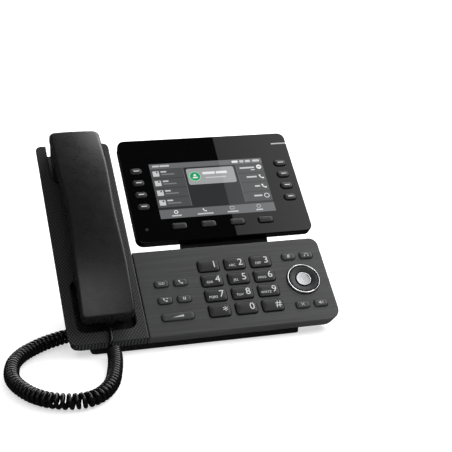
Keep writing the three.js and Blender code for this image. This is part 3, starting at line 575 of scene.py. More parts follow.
def tube(name, path, diameter, material, sides=10):
    """A round tube along a path in millimetres from the table's corner, closed at both ends."""
    ahead = [(path[min(i + 1, len(path) - 1)] - path[max(i - 1, 0)]).normalized()
             for i in range(len(path))]
    across = ahead[0].orthogonal().normalized()
    rings = []
    for place, along in zip(path, ahead):
        across = (across - across.dot(along) * along).normalized()
        up = along.cross(across)
        rings.append([place + (math.cos(t) * across + math.sin(t) * up) * diameter / 2
                      for t in (2 * math.pi * i / sides for i in range(sides))])
    return loft(name, [[TABLE @ (p * MM) / MM for p in ring] for ring in rings],
                Matrix.Identity(4), material)


TURNS_WITH_HANDSET = 5
SPLIT = TURN_STEPS * TURNS_WITH_HANDSET + 3          # the point of the wire where the two pieces meet
wire = coil_path(COIL_ROUTE)[:-8]        # the lead leaves the coil before its last turn closes up
lead = smooth_path(HANDSET_LEAD, 1.2)
upper_path = lead[:-1] + wire[3:SPLIT + 1]
lower_path = wire[SPLIT:-3] + smooth_path([wire[-3], wire[-1], *BASE_LEAD], 1.5)


def on_table(point):
    return TABLE @ (Vector(point) * MM)


cord_upper = tube("cord_to_handset", upper_path, CORD_DIAMETER, CORD_PVC)
smooth(cord_upper, 60, weighted=False)
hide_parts("cord_lead_handset")
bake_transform(cord_upper)

cord_lower = tube("cord_to_base", lower_path, CORD_DIAMETER, CORD_PVC)
smooth(cord_lower, 60, weighted=False)
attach(cord_lower, "base")
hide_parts("curly_cord", "cord_lead_base")


# ---- Handset: two moulded shells that meet at a line along the sides ----
HANDSET_LOW, HANDSET_HIGH = local_box("handset_back", CONSOLE)
FACE_LOW = local_box("handset_face", CONSOLE)[0]
HANDSET_MIDDLE = (HANDSET_LOW.x + HANDSET_HIGH.x) / 2
HANDSET_HALF = (HANDSET_HIGH.x - HANDSET_LOW.x) / 2
HANDSET_END_TOP = 15
HANDSET_EAR_RISE = 1.6       # the ear end stands this much higher than the mouth end
HANDSET_WAIST_HALF = 21
HANDSET_STRAIGHT = 38        # the ends keep their full width this far
HANDSET_CORNER = 6
PARTING_DROP = 9             # the line lies this far under the back
CUP_LENGTH, CUP_RAMP, CUP_SETBACK, GRIP_BOTTOM = 34, 13, 7, 9
HANDSET_LENGTH = HANDSET_HIGH.y - HANDSET_LOW.y


def ease(share):
    share = min(max(share, 0), 1)
    return share * share * (3 - 2 * share)


def spread(length, fine):
    """Places along a length, close together near both ends as the list fine says."""
    inner = length - 2 * fine[-1]
    count = max(2, round(inner / 3.2))
    middle = [fine[-1] + inner * i / count for i in range(1, count)]
    return [*fine, *middle, *(length - f for f in reversed(fine))]


FINE_EDGE = (0, 0.12, 0.4, 0.8, 1.4, 2.1, 3, 4.2, 6)
STATIONS = spread(HANDSET_LENGTH, FINE_EDGE)
COLUMNS = [place / HANDSET_HALF - 1 for place in spread(2 * HANDSET_HALF, FINE_EDGE)]


def handset_half(station):
    """Half the handset's width at a distance from its mouth end."""
    nearest = min(station, HANDSET_LENGTH - station)
    reach = HANDSET_LENGTH / 2 - HANDSET_STRAIGHT
    half = HANDSET_HALF - (HANDSET_HALF - HANDSET_WAIST_HALF) * ease((nearest - HANDSET_STRAIGHT) / reach)
    if nearest < HANDSET_CORNER:
        half -= HANDSET_CORNER - math.sqrt(HANDSET_CORNER**2 - (HANDSET_CORNER - nearest)**2)
    return half


def back_height(station):
    share = station / HANDSET_LENGTH
    arch = 4 * (HANDSET_HIGH.z - HANDSET_END_TOP) * share * (1 - share)
    return HANDSET_END_TOP + arch + HANDSET_EAR_RISE * share**4


def face_height(station):
    """The cups at both ends, the ramps and the handle between them."""
    nearest = min(station, HANDSET_LENGTH - station)
    return FACE_LOW.z + (GRIP_BOTTOM - FACE_LOW.z) * ease((nearest - CUP_SETBACK - CUP_LENGTH) / CUP_RAMP)


def sheet_of(height, inset=0, roll=0, crown=0, setback=0):
    """Rows of points over the handset's plan. roll is the radius of the edge, crown the drop of the
    sides below the middle, and setback draws the two ends in."""
    rows = []
    for station in STATIONS:
        nearest = min(station, HANDSET_LENGTH - station)
        half = handset_half(station) - inset
        place = inset + setback + station * (1 - 2 * (inset + setback) / HANDSET_LENGTH)
        full = handset_half(max(min(station, HANDSET_LENGTH - HANDSET_CORNER), HANDSET_CORNER)) - inset
        row = []
        for column in COLUMNS:
            across = column * half
            from_side, from_end = full - abs(across), nearest
            corner_u, corner_v = HANDSET_CORNER - from_side, HANDSET_CORNER - from_end
            if corner_u > 0 and corner_v > 0:
                to_edge = HANDSET_CORNER - math.hypot(corner_u, corner_v)
            else:
                to_edge = min(from_side, from_end)
            to_edge = min(max(to_edge, 0), abs(roll)) if roll else 0
            fall = abs(roll) - math.sqrt(max(roll**2 - (abs(roll) - to_edge)**2, 0)) if roll else 0
            row.append((HANDSET_MIDDLE + across, HANDSET_LOW.y + place,
                        height(place) - math.copysign(fall, roll) - crown * column**2))
        rows.append(row)
    return rows


def shell_between(name, upper, lower, material):
    """A closed shell with an upper and a lower sheet of points and a wall round them."""
    rows, columns = len(upper), len(upper[0])
    points = [p for sheet in (upper, lower) for row in sheet for p in row]
    below = rows * columns
    faces = []
    for r in range(rows - 1):
        for c in range(columns - 1):
            a, b = r * columns + c, r * columns + c + 1
            d, e = a + columns, b + columns
            faces.append((a, b, e, d))
            faces.append((below + a, below + d, below + e, below + b))
    rim = ([c for c in range(columns)] + [r * columns + columns - 1 for r in range(1, rows)]
           + [(rows - 1) * columns + c for c in range(columns - 2, -1, -1)]
           + [r * columns for r in range(rows - 2, 0, -1)])
    for a, b in zip(rim, rim[1:] + rim[:1]):
        faces.append((a, below + a, below + b, b))
    return add_mesh(name, points, faces, CONSOLE, material)


def parting(drop):
    return lambda station: back_height(station) - drop


back = shell_between("fine_handset_back", sheet_of(back_height, roll=2.4, crown=0.7),
                     sheet_of(parting(PARTING_DROP), inset=0.35), HANDSET_ABS)
finish(back, "handset", "satin_black_abs", "handset_back", angle=50)

face = shell_between("fine_handset_face", sheet_of(parting(PARTING_DROP + 0.3), inset=0.9),
                     sheet_of(face_height, inset=1.3, roll=-2.4, setback=CUP_SETBACK - 1.3), HANDSET_ABS)
receiver_low, receiver_high = local_box("handset_receiver", CONSOLE)
RECEIVER = ((receiver_low.x + receiver_high.x) / 2, (receiver_low.y + receiver_high.y) / 2)
microphone_low, microphone_high = local_box("handset_microphone", CONSOLE)
MICROPHONE = ((microphone_low.x + microphone_high.x) / 2, (microphone_low.y + microphone_high.y) / 2)
GRILLE_RADIUS = 12.5
grille_dish = turned("dish", RECEIVER,
                     [(GRILLE_RADIUS + 2, FACE_LOW.z - 1), (GRILLE_RADIUS + 1.2, FACE_LOW.z),
                      (GRILLE_RADIUS, FACE_LOW.z + 1)], CONSOLE, HANDSET_ABS)
holes = [turned("hole", (RECEIVER[0] + ring * 4 * math.cos(2 * math.pi * i / (6 * ring)),
                         RECEIVER[1] + ring * 4 * math.sin(2 * math.pi * i / (6 * ring))),
                [(0.8, FACE_LOW.z - 1), (0.8, FACE_LOW.z + 2.2)], CONSOLE, HANDSET_ABS, 12)
         for ring in (1, 2) for i in range(6 * ring)]
holes += [turned("hole", (MICROPHONE[0] + i * 3, MICROPHONE[1]),
                 [(0.7, FACE_LOW.z - 1), (0.7, FACE_LOW.z + 1.5)], CONSOLE, HANDSET_ABS, 12)
          for i in (-1, 0, 1)]
combine(face, [grille_dish, *holes], "DIFFERENCE")
finish(face, "handset", "satin_black_abs", "handset_face", angle=40)

# The handset's socket for the cord, with the plug's end standing out of it
boot_place = CONSOLE.inverted() @ on_table(HANDSET_LEAD[0]) / MM
boot = slab("handset_cord_plug",
            (boot_place.x - 3.9, boot_place.z - 3.3, boot_place.x + 3.9, boot_place.z + 3.3), [0.8] * 4,
            -boot_place.y - 3.6, -boot_place.y + 1.6,
            CONSOLE @ Matrix.Rotation(math.radians(90), 4, "X"), BLACK_ABS, bottom=0.2, top=0.5)
finish(boot, "handset", "satin_black_abs")


# ---- Cradle cover: a lattice-moulded plate with a well for the mouth end and one for the ear end ----
CRADLE_HIGH = local_box("cradle_cover", CONSOLE)[1]
BASE_TOP = local_box("base_shell", CONSOLE)[1].z
COVER_LOW = BASE_TOP + 0.3
WELL_FLOOR = -12
WELL_SKIN = 1.6
WELL_GAP = 1.8
MOUTH_WELL_FRONT = 11.9
CUP_AT_SURFACE = (CUP_SETBACK + CUP_LENGTH - CUP_RAMP * FACE_LOW.z / (GRIP_BOTTOM - FACE_LOW.z) + WELL_GAP)
WELL_RECTS = {
    "mouth": (HANDSET_LOW.x - WELL_GAP, MOUTH_WELL_FRONT, HANDSET_HIGH.x + WELL_GAP,
              HANDSET_LOW.y + CUP_AT_SURFACE),
    "ear": (HANDSET_LOW.x - WELL_GAP, HANDSET_HIGH.y - CUP_AT_SURFACE, HANDSET_HIGH.x + WELL_GAP,
            CRADLE_HIGH.y + 12)}


def grown(rect, by):
    return (rect[0] - by, rect[1] - by, rect[2] + by, rect[3] + by)


def well_cutter(rect):
    """A well's hollow, flared at the top so that the plate's edge rolls into it."""
    lip = 1.2
    profile = [(1.2, WELL_FLOOR), (0.3, WELL_FLOOR + 0.4), (0, WELL_FLOOR + 1.3), (0, -lip)]
    profile += [(-lip * (1 - math.cos(t)), -lip * (1 - math.sin(t)))
                for t in (math.pi / 2 * i / 4 for i in range(1, 5))]
    profile.append((-lip, 1))
    return loft("hollow", [rounded_rect(grown(rect, -inset), [7 - inset] * 4, height)
                           for inset, height in profile], CONSOLE, LATTICE_ABS)


cover = slab("fine_cradle_cover", (0, 0, CRADLE_HIGH.x, CRADLE_HIGH.y), (8, 0.4, 5.5, 5.5), COVER_LOW, 0,
             CONSOLE, LATTICE_ABS, bottom=0.5, top=1.3, taper=(3.6, 0, 0, 3))
cups = [slab("cup", grown(rect, WELL_SKIN) if key == "mouth" else
             (rect[0] - WELL_SKIN, rect[1] - WELL_SKIN, rect[2] + WELL_SKIN, CRADLE_HIGH.y - 3.4),
             [7 + WELL_SKIN] * 2 + [1, 1] if key == "ear" else [7 + WELL_SKIN] * 4,
             WELL_FLOOR - WELL_SKIN, -1.5, CONSOLE, LATTICE_ABS)
        for key, rect in WELL_RECTS.items()]
combine(cover, cups, "UNION")
hook_low, hook_high = local_box("hook_switch", CONSOLE)
hook_slot = slab("slot", grown((hook_low.x, hook_low.y, hook_high.x, hook_high.y), 0.4), [0.6] * 4, -18, -2,
                 CONSOLE, LATTICE_ABS)
combine(cover, [*(well_cutter(rect) for rect in WELL_RECTS.values()), hook_slot], "DIFFERENCE")
finish(cover, "base", "black_abs", "cradle_cover", angle=32)

hook = slab("fine_hook_switch", (hook_low.x, hook_low.y, hook_high.x, hook_high.y), [1] * 4,
            hook_low.z, hook_high.z, CONSOLE, KEY_ABS, top=1)
finish(hook, "hook_switch", "key_plastic", "hook_switch")


# ---- Keypad cover: brushed, with its rear edge rolled down ----
KEYPAD_LOW, KEYPAD_HIGH = local_box("keypad_cover", CONSOLE)
DIAL_KEYS = {"star": ("*", ""), "0": ("0", ""), "hash": ("#", ""), "7": ("7", "PQRS"), "8": ("8", "TUV"),
             "9": ("9", "WXYZ"), "4": ("4", "GHI"), "5": ("5", "JKL"), "6": ("6", "MNO"), "1": ("1", ""),
             "2": ("2", "ABC"), "3": ("3", "DEF")}
SIDE_KEYS = ["message_key", "directory_key", "transfer_key", "hold_key", "mute_key", "headset_key",
             "cancel_key", "speaker_key", "volume_rocker"]
DIAL_RADIUS, SIDE_RADIUS, LINE_RADIUS, SOFT_RADIUS = 2.5, 2.5, 3.1, 2.2
KEY_GAP = 0.35


def key_rect(node, axes):
    low, high = local_box(node, axes)
    return (low.x, low.y, high.x, high.y), low.z, high.z


keypad = slab("fine_keypad_cover", (KEYPAD_LOW.x, 0, KEYPAD_HIGH.x, KEYPAD_HIGH.y), (0.4, 11, 8, 0.4),
              COVER_LOW, 0, CONSOLE, BRUSHED_ABS, bottom=0.5, top=0.9, taper=(0, 0, 3.6, 3))
roll_depth, roll_length = 4, 8           # how far the rear edge drops, over what length
edge_cut = [(KEYPAD_HIGH.y - roll_length + roll_length * math.sin(t), -roll_depth * (1 - math.cos(t)))
            for t in (math.pi / 2 * i / 8 for i in range(9))]
edge_ring = [*edge_cut, (KEYPAD_HIGH.y + 3, -roll_depth), (KEYPAD_HIGH.y + 3, 2),
             (KEYPAD_HIGH.y - roll_length, 2)]
edge_tool = loft("rear_roll", [[(u, v, h) for v, h in reversed(edge_ring)]
                               for u in (KEYPAD_LOW.x - 2, KEYPAD_HIGH.x + 2)], CONSOLE, BRUSHED_ABS)
combine(keypad, [edge_tool], "DIFFERENCE")


def key_holes(nodes, radius, low, axes, material):
    """Cutters for the keys' openings, a gap wider than each key, down to the height low."""
    tools = []
    for node in nodes:
        rect, _, _ = key_rect(node, axes)
        profile = [(0, low), (0, -0.35), (-0.35, 0), (-0.35, 2)]
        rings = [rounded_rect(grown(rect, KEY_GAP - inset), [radius + KEY_GAP - inset] * 4, h)
                 for inset, h in profile]
        tools.append(loft("hole", rings, axes, material))
    return tools


rim_low, rim_high = local_box("nav_rim", CONSOLE)
RIM_RADIUS = (rim_high.x - rim_low.x) / 2
nav_hole = turned("hole", NAV_CENTRE, [(RIM_RADIUS + KEY_GAP, COVER_LOW - 2), (RIM_RADIUS + KEY_GAP, 2)],
                  CONSOLE, BRUSHED_ABS)
dial_holes = key_holes([f"dial_key_{k}" for k in DIAL_KEYS], DIAL_RADIUS, COVER_LOW - 2, CONSOLE, BRUSHED_ABS)
side_holes = key_holes(SIDE_KEYS, SIDE_RADIUS, COVER_LOW - 2, CONSOLE, BRUSHED_ABS)
combine(keypad, [*dial_holes, *side_holes, nav_hole], "DIFFERENCE")
finish(keypad, "base", "grey_abs", "keypad_cover", angle=32)


# ---- Keys ----
def key_cap(node, radius, axes, material, slot, crown=0.35, edge=0.9):
    """A pillow-topped key cap with a soft edge."""
    rect, low, high = key_rect(node, axes)
    rings = slab_rings(rect, [radius] * 4, low, high - crown, bottom=0.2, top=edge)
    for share in (0.35, 0.65, 0.9):
        inset = edge + share * (min(rect[2] - rect[0], rect[3] - rect[1]) / 2 - edge) * 0.95
        rings.append(rounded_rect(grown(rect, -inset), [max(radius - inset, 0.3)] * 4,
                                  high - crown * (1 - share)**2))
    piece = loft("fine_" + node, rings, axes, material)
    return finish(piece, node, slot, node, angle=60)


for key in DIAL_KEYS:
    key_cap(f"dial_key_{key}", DIAL_RADIUS, CONSOLE, KEY_ABS, "key_plastic")
for key in SIDE_KEYS:
    key_cap(key, SIDE_RADIUS, CONSOLE, SIDE_KEY_ABS, "key_plastic", crown=0.25, edge=0.7)
LINE_KEYS = [f"line_key_{side}_{i}" for side in ("left", "right") for i in (1, 2, 3, 4)]
SOFT_KEYS = [f"soft_key_{i}" for i in (1, 2, 3, 4)]
for key in LINE_KEYS:
    key_cap(key, LINE_RADIUS, DISPLAY, DISPLAY_KEY_ABS, "display_key_plastic", crown=0.25, edge=0.7)
for key in SOFT_KEYS:
    key_cap(key, SOFT_RADIUS, DISPLAY, DISPLAY_KEY_ABS, "display_key_plastic", crown=0.25, edge=0.7)


# ---- Printed marks: flat outlines a few hundredths of a millimetre above the keys ----
def stroke(points, width):
    """A flat ribbon along points."""
    points = [Vector((*p, 0)) for p in points]
    left, right = [], []
    for i, p in enumerate(points):
        along = (points[min(i + 1, len(points) - 1)] - points[max(i - 1, 0)]).normalized()
        side = Vector((-along.y, along.x, 0)) * width / 2
        left.append(tuple(p + side)[:2])
        right.append(tuple(p - side)[:2])
    return [[right[i], right[i + 1], left[i + 1], left[i]] for i in range(len(points) - 1)]


def arc(u, v, radius, start, end, count=16):
    """Points on an arc, in degrees."""
    turns = [math.radians(start + (end - start) * i / count) for i in range(count + 1)]
    return [(u + radius * math.cos(t), v + radius * math.sin(t)) for t in turns]


def block(u0, v0, u1, v1):
    return [[(u0, v0), (u1, v0), (u1, v1), (u0, v1)]]


def marks(name, outlines, centre, height, axes, material, body):
    """Outlines drawn about a centre, as one thin raised print."""
    points, faces = [], []
    for outline in outlines:
        first = len(points)
        points += [(centre[0] + u, centre[1] + v, height) for u, v in outline]
        faces.append(tuple(range(first, first + len(outline))))
    piece = add_mesh(name, points, faces, axes, material)
    solid = piece.modifiers.new("ink", "SOLIDIFY")
    solid.thickness = 0.04 * MM
    solid.offset = 1
    bake(piece)
    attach(piece, body)
    return piece


def letters(name, text, size, place, axes, material, body, spacing=1.0):
    """Generic keypad characters, centred on a place, as a thin raised print."""
    font = bpy.data.curves.new(name, "FONT")
    font.body = text
    font.size = size * MM
    font.align_x = "CENTER"
    font.align_y = "CENTER"
    font.space_character = spacing
    font.extrude = 0.02 * MM
    font.resolution_u = 3
    piece = bpy.data.objects.new(name, font)
    bpy.context.scene.collection.objects.link(piece)
    piece.matrix_world = axes @ Matrix.Translation(Vector(place) * MM)
    bpy.context.view_layer.update()
    mesh = bpy.data.meshes.new_from_object(piece.evaluated_get(bpy.context.evaluated_depsgraph_get()))
    solid = bpy.data.objects.new(name, mesh)
    bpy.context.scene.collection.objects.link(solid)
    solid.matrix_world = piece.matrix_world
    bpy.data.objects.remove(piece)
    solid.name = name
    mesh.materials.clear()
    mesh.materials.append(material)
    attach(solid, body)
    return solid


def centre_of(node, axes):
    low, high = local_box(node, axes)
    return (low.x + high.x) / 2, (low.y + high.y) / 2, high.z


for key, (digit, group) in DIAL_KEYS.items():
    u, v, top = centre_of(f"dial_key_{key}", CONSOLE)
    size, drop = (9.5, 0.6) if digit not in "*" else (11, -1.2)
    letters(f"digit_{key}", digit, size, (u + 5.3, v + drop, top + 0.02), CONSOLE, WHITE_INK,
            f"dial_key_{key}")
    if group:
        letters(f"letters_{key}", group, 3.3, (u - 2.6, v - 1.9, top + 0.02), CONSOLE, WHITE_INK,
                f"dial_key_{key}")

RECEIVER_ICON = (stroke(arc(1.3, 1.3, 2.6, 190, 260, 8), 0.8) + block(-1.9, 0.7, -0.5, 1.9)
                 + block(0.7, -1.9, 1.9, -0.5))
ICONS = {
    "message_key": (stroke(arc(-1.5, 0, 1, 0, 360), 0.4) + stroke(arc(1.5, 0, 1, 0, 360), 0.4)
                    + block(-1.5, -1.2, 1.5, -0.8)),
    "directory_key": RECEIVER_ICON,
    "transfer_key": (RECEIVER_ICON + block(0.4, 1.2, 2.6, 1.6)
                     + stroke([(1.9, 0.6), (2.7, 1.4), (1.9, 2.2)], 0.4)),
    "hold_key": block(-1.2, -1.5, -0.4, 1.5) + block(0.4, -1.5, 1.2, 1.5),
    "mute_key": (stroke(arc(0, 0.4, 0.7, 0, 360, 12), 0.9) + stroke(arc(0, 0.3, 1.5, 200, 340), 0.35)
                 + block(-0.2, -2, 0.2, -1.2) + stroke([(-1.6, -1.6), (1.6, 1.8)], 0.35)),
    "headset_key": (stroke(arc(0, -0.2, 1.7, -10, 190), 0.4) + block(-2.1, -1.7, -1.3, -0.1)
                    + block(1.3, -1.7, 2.1, -0.1)),
    "cancel_key": stroke([(-1.5, -1.5), (1.5, 1.5)], 0.45) + stroke([(-1.5, 1.5), (1.5, -1.5)], 0.45),
    "speaker_key": (block(-2, -0.6, -1.2, 0.6) + [[(-1.2, -0.6), (0, -1.5), (0, 1.5), (-1.2, 0.6)]]
                    + stroke(arc(0, 0, 1, -50, 50, 8), 0.35) + stroke(arc(0, 0, 1.9, -50, 50, 8), 0.35)),
    "volume_rocker": [[(-5.5, -1), (5, -1), (5, 1)]],
}
for key, outlines in ICONS.items():
    u, v, top = centre_of(key, CONSOLE)
    marks("icon_" + key, outlines, (u, v), top + 0.01, CONSOLE, GREY_INK, key)
for key in LINE_KEYS:
    u, v, top = centre_of(key, DISPLAY)
    marks("lamp_" + key, block(-2.6, -0.5, 2.6, 0.5), (u + 0.6, v + 0.3), top + 0.01, DISPLAY, WHITE_INK, key)


# ---- Navigation cluster ----
ring_low, ring_high = local_box("nav_ring", CONSOLE)
button_low, button_high = local_box("ok_button", CONSOLE)
RING_RADIUS = (ring_high.x - ring_low.x) / 2
BUTTON_RADIUS = (button_high.x - button_low.x) / 2
rim_inner = RING_RADIUS + KEY_GAP
rim_top = rim_high.z
rim = turned_ring("fine_nav_rim", NAV_CENTRE, [
    (rim_inner, rim_low.z), (RIM_RADIUS, rim_low.z), (RIM_RADIUS, rim_top - 0.9),
    (RIM_RADIUS - 0.12, rim_top - 0.35),
    (RIM_RADIUS - 0.45, rim_top - 0.06), (RIM_RADIUS - 0.75, rim_top), (rim_inner + 0.35, rim_top - 0.12),
    (rim_inner + 0.08, rim_top - 0.4), (rim_inner, rim_top - 0.8)], CONSOLE, CHROME, 96)
finish(rim, "base", "chrome_trim", "nav_rim", angle=50)
ring_inner = BUTTON_RADIUS + KEY_GAP
ring_top = ring_high.z
ring = turned_ring("fine_nav_ring", NAV_CENTRE, [
    (ring_inner, ring_low.z), (RING_RADIUS, ring_low.z), (RING_RADIUS, ring_top - 0.7),
    (RING_RADIUS - 0.3, ring_top - 0.2),
    (RING_RADIUS - 1, ring_top), (RING_RADIUS - 2.4, ring_top - 0.25), (ring_inner + 1.4, ring_top - 0.6),
    (ring_inner + 0.5, ring_top - 0.75), (ring_inner, ring_top - 1.2)], CONSOLE, KEY_ABS, 96)
finish(ring, "nav_ring", "key_plastic", "nav_ring", angle=50)
chevrons = []
for quarter in range(4):
    turn = Matrix.Rotation(quarter * math.pi / 2, 2)
    for face_marks in stroke([(-0.9, 9.9), (0, 10.8), (0.9, 9.9)], 0.35):
        chevrons.append([tuple(turn @ Vector(p)) for p in face_marks])
marks("nav_arrows", chevrons, NAV_CENTRE, ring_top - 0.3, CONSOLE, DISPLAY_KEY_ABS, "nav_ring")
button = turned("fine_ok_button", (0, 0), [
    (BUTTON_RADIUS, button_low.z), (BUTTON_RADIUS, button_high.z - 0.5),
    (BUTTON_RADIUS - 0.12, button_high.z - 0.15),
    (BUTTON_RADIUS - 0.5, button_high.z), (BUTTON_RADIUS - 1.1, button_high.z - 0.08),
    *((BUTTON_RADIUS * s, button_high.z - 0.1 - 0.16 * (1 - s)) for s in (0.75, 0.5, 0.25, 0.05))],
    CONSOLE @ Matrix.Translation((NAV_CENTRE.x * MM, NAV_CENTRE.y * MM, 0)), SPUN, 96)
finish(button, "ok_button", "spun_aluminium", "ok_button", angle=60)


# ---- Display: a polished plate with keys through it, the picture behind its window ----
FRONT_LOW, FRONT_HIGH = local_box("display_front", DISPLAY)
LCD_LOW, LCD_HIGH = local_box("lcd_screen", DISPLAY)
LENS_STEP = 3.5              # the picture is this much smaller than the panel behind the frame
PICTURE = (LCD_LOW.x + LENS_STEP, LCD_LOW.y + LENS_STEP, LCD_HIGH.x - LENS_STEP, LCD_HIGH.y - LENS_STEP)
light_low, light_high = local_box("message_light", DISPLAY)
front = slab("fine_display_front", (FRONT_LOW.x, FRONT_LOW.y, FRONT_HIGH.x, FRONT_HIGH.y), [7] * 4,
             FRONT_LOW.z, 0, DISPLAY, GLOSS_BLACK, bottom=0.6, top=0.9, taper=(0, 1.2, 0, 1.2))
window = slab("window", PICTURE, [0.3] * 4, -12, 3, DISPLAY, GLOSS_BLACK, bottom=0.1, top=0.1)
LIGHT_HEIGHT = 1.8           # the light pipe shows as a slim bar
light_middle = (light_low.y + light_high.y) / 2
light_low.y = light_middle - LIGHT_HEIGHT / 2
light_high.y = light_middle + LIGHT_HEIGHT / 2
light_slot = slab("slot", (light_low.x - 0.2, light_low.y - 0.2, light_high.x + 4, light_high.y + 0.2),
                  [0.3] * 4, light_low.z - 0.3, 3, DISPLAY, GLOSS_BLACK, bottom=0.1, top=0.1)
THROUGH = -12                # below the display's front, so that a cutter passes right through it
line_holes = key_holes(LINE_KEYS, LINE_RADIUS, THROUGH, DISPLAY, GLOSS_BLACK)
soft_holes = key_holes(SOFT_KEYS, SOFT_RADIUS, THROUGH, DISPLAY, GLOSS_BLACK)
combine(front, [*line_holes, *soft_holes, window, light_slot], "DIFFERENCE")
finish(front, "display", "gloss_black", "display_front", angle=32)

light = slab("fine_message_light", (light_low.x, light_low.y, light_high.x, light_high.y), [0.4] * 4,
             light_low.z, light_high.z, DISPLAY, CLEAR, bottom=0.2, top=0.5)
finish(light, "display", "light_pipe", "message_light")

# The picture: plain tiles, bars and dots in the places of a phone's menu, with no words
PICTURE_TONES = {"panel": "#313233", "row": "#505152", "bar": "#6b6c6e", "line": "#7d7e80",
                 "card": "#a2a3a4", "mint": "#9ccfb4", "green": "#1f9e63", "faint": "#c9cacb",
                 "white": "#ececec", "notch": "#46474a"}
PICTURE_MATERIALS = {tone: lit_picture("backlit_crystal_" + tone, code)
                     for tone, code in PICTURE_TONES.items()}
panel = slab("fine_lcd_screen", grown(PICTURE, -0.05), [0.2] * 4, LCD_LOW.z, -0.3, DISPLAY,
             PICTURE_MATERIALS["panel"], bottom=0.1, top=0.05)
finish(panel, "display", "screen_glass", "lcd_screen")

WIDE, TALL = PICTURE[2] - PICTURE[0], PICTURE[3] - PICTURE[1]
BAR_TOP, BAR_BOTTOM, ROW = 5.9, 9.9, 11.0
picture = {tone: [] for tone in PICTURE_TONES}


def tile(tone, left, top, width, height, radius=0):
    """A tile on the picture, placed from its top left corner."""
    rect = (left, TALL - top - height, left + width, TALL - top)
    picture[tone].append([p[:2] for p in rounded_rect(rect, [radius] * 4, 0, 4)])


def dot(tone, left, top, radius):
    picture[tone].append([p[:2] for p in disc_ring(left, TALL - top, radius, 0, 28)])


def drawn(tone, outlines, left, top):
    picture[tone] += [[(left + u, TALL - top + v) for u, v in outline] for outline in outlines]


tile("bar", 0, 0, WIDE, BAR_TOP)
tile("bar", 0, TALL - BAR_BOTTOM, WIDE, BAR_BOTTOM)
for left, width in ((0, 31.6), (84, WIDE - 84)):
    for i in range(4):
        tile("row", left, BAR_TOP + 0.3 + i * ROW, width, ROW - 0.5)
tile("line", 31.6, BAR_TOP, 0.35, 4 * ROW)
tile("line", 83.5, BAR_TOP, 0.35, 4 * ROW)
tile("faint", 3, 1.8, 6.5, 1.9)
tile("faint", 10.2, 1.8, 9, 1.9)
for i in range(4):                            # the left column: a line's picture and two bars
    top = BAR_TOP + i * ROW
    tile("faint", 2, top + 2.6, 6, 6, 0.6)
    dot("notch", 6, top + 4, 0.9)
    tile("faint", 9.8, top + 2.8, 5.4, 1.5)
    tile("line", 9.8, top + 5.8, 12.6, 1.4)
tile("card", 34.2, 7.8, 46.6, 18.6, 2)
dot("mint", 41.6, 17, 5.6)
dot("green", 41.6, 17, 4.8)
dot("white", 41.6, 15.7, 1.3)
tile("white", 39.1, 17.6, 5, 1.6, 0.8)
tile("white", 49.4, 12.6, 12, 2.7, 0.5)
tile("white", 62.6, 12.6, 10.8, 2.7, 0.5)
tile("faint", 51.5, 18.6, 20, 1.3)
for i, (start, width) in enumerate(((87, 14.5), (91.4, 10), (97, 5), (93.6, 8))):
    tile("faint", start, BAR_TOP + i * ROW + 4, width, 1.8)
tile("faint", 97.5, BAR_TOP + 7, 4, 1.2)
dot("white", 106.2, BAR_TOP + 4.6, 2.6)
tile("notch", 104.7, BAR_TOP + 4.2, 3, 0.8)
HANDSET_MARK = (stroke(arc(1.6, 1.6, 3.2, 190, 260, 8), 1) + block(-2.3, 0.9, -0.6, 2.3)
                + block(0.9, -2.3, 2.3, -0.6))
drawn("white", HANDSET_MARK, 106, BAR_TOP + ROW + 5.2)
drawn("white", HANDSET_MARK, 106, BAR_TOP + 2 * ROW + 5.2)
drawn("white", stroke(arc(0, 0, 2.3, 0, 360), 0.6), 106, BAR_TOP + 3 * ROW + 5.2)
for left, width, tone in ((80.8, 6, "white"), (88.6, 4, "faint"), (94.2, 5, "faint"), (101.4, 7, "faint")):
    tile(tone, left, 1.6, width, 2.5, 0.7)
for centre, width in ((15.4, 9), (42.6, 15), (69, 10.5), (95, 6.5)):
    tile("faint", centre - width / 2, TALL - 3.4, width, 1.4)
drawn("white", stroke(arc(0, 0, 1.6, 0, 360), 0.8), 15.4, TALL - 6.6)
drawn("white", [[(0.75 * u, 0.75 * v) for u, v in outline] for outline in HANDSET_MARK], 42.6, TALL - 6.6)
drawn("faint", stroke([(-2, -1.4), (2, -1.4), (2, 1.4), (-2, 1.4), (-2, -1.4)], 0.5), 69, TALL - 6.8)
drawn("faint", stroke(arc(0, 0, 1.8, 0, 360), 0.5), 95, TALL - 6.8)
for layer, (tone, outlines) in enumerate(picture.items()):
    if outlines:
        marks("picture_" + tone, outlines, PICTURE[:2], -0.29 + 0.025 * layer, DISPLAY,
              PICTURE_MATERIALS[tone], "display")

# A small microphone hole beside the soft keys
turned_mic = turned("display_microphone", (FRONT_LOW.x + 10.7, FRONT_LOW.y + 14.2),
                    [(1.5, -0.2), (1.5, 0.02), (1.2, 0.06)], DISPLAY, DISPLAY_KEY_ABS, 24)
finish(turned_mic, "display", "gloss_black")


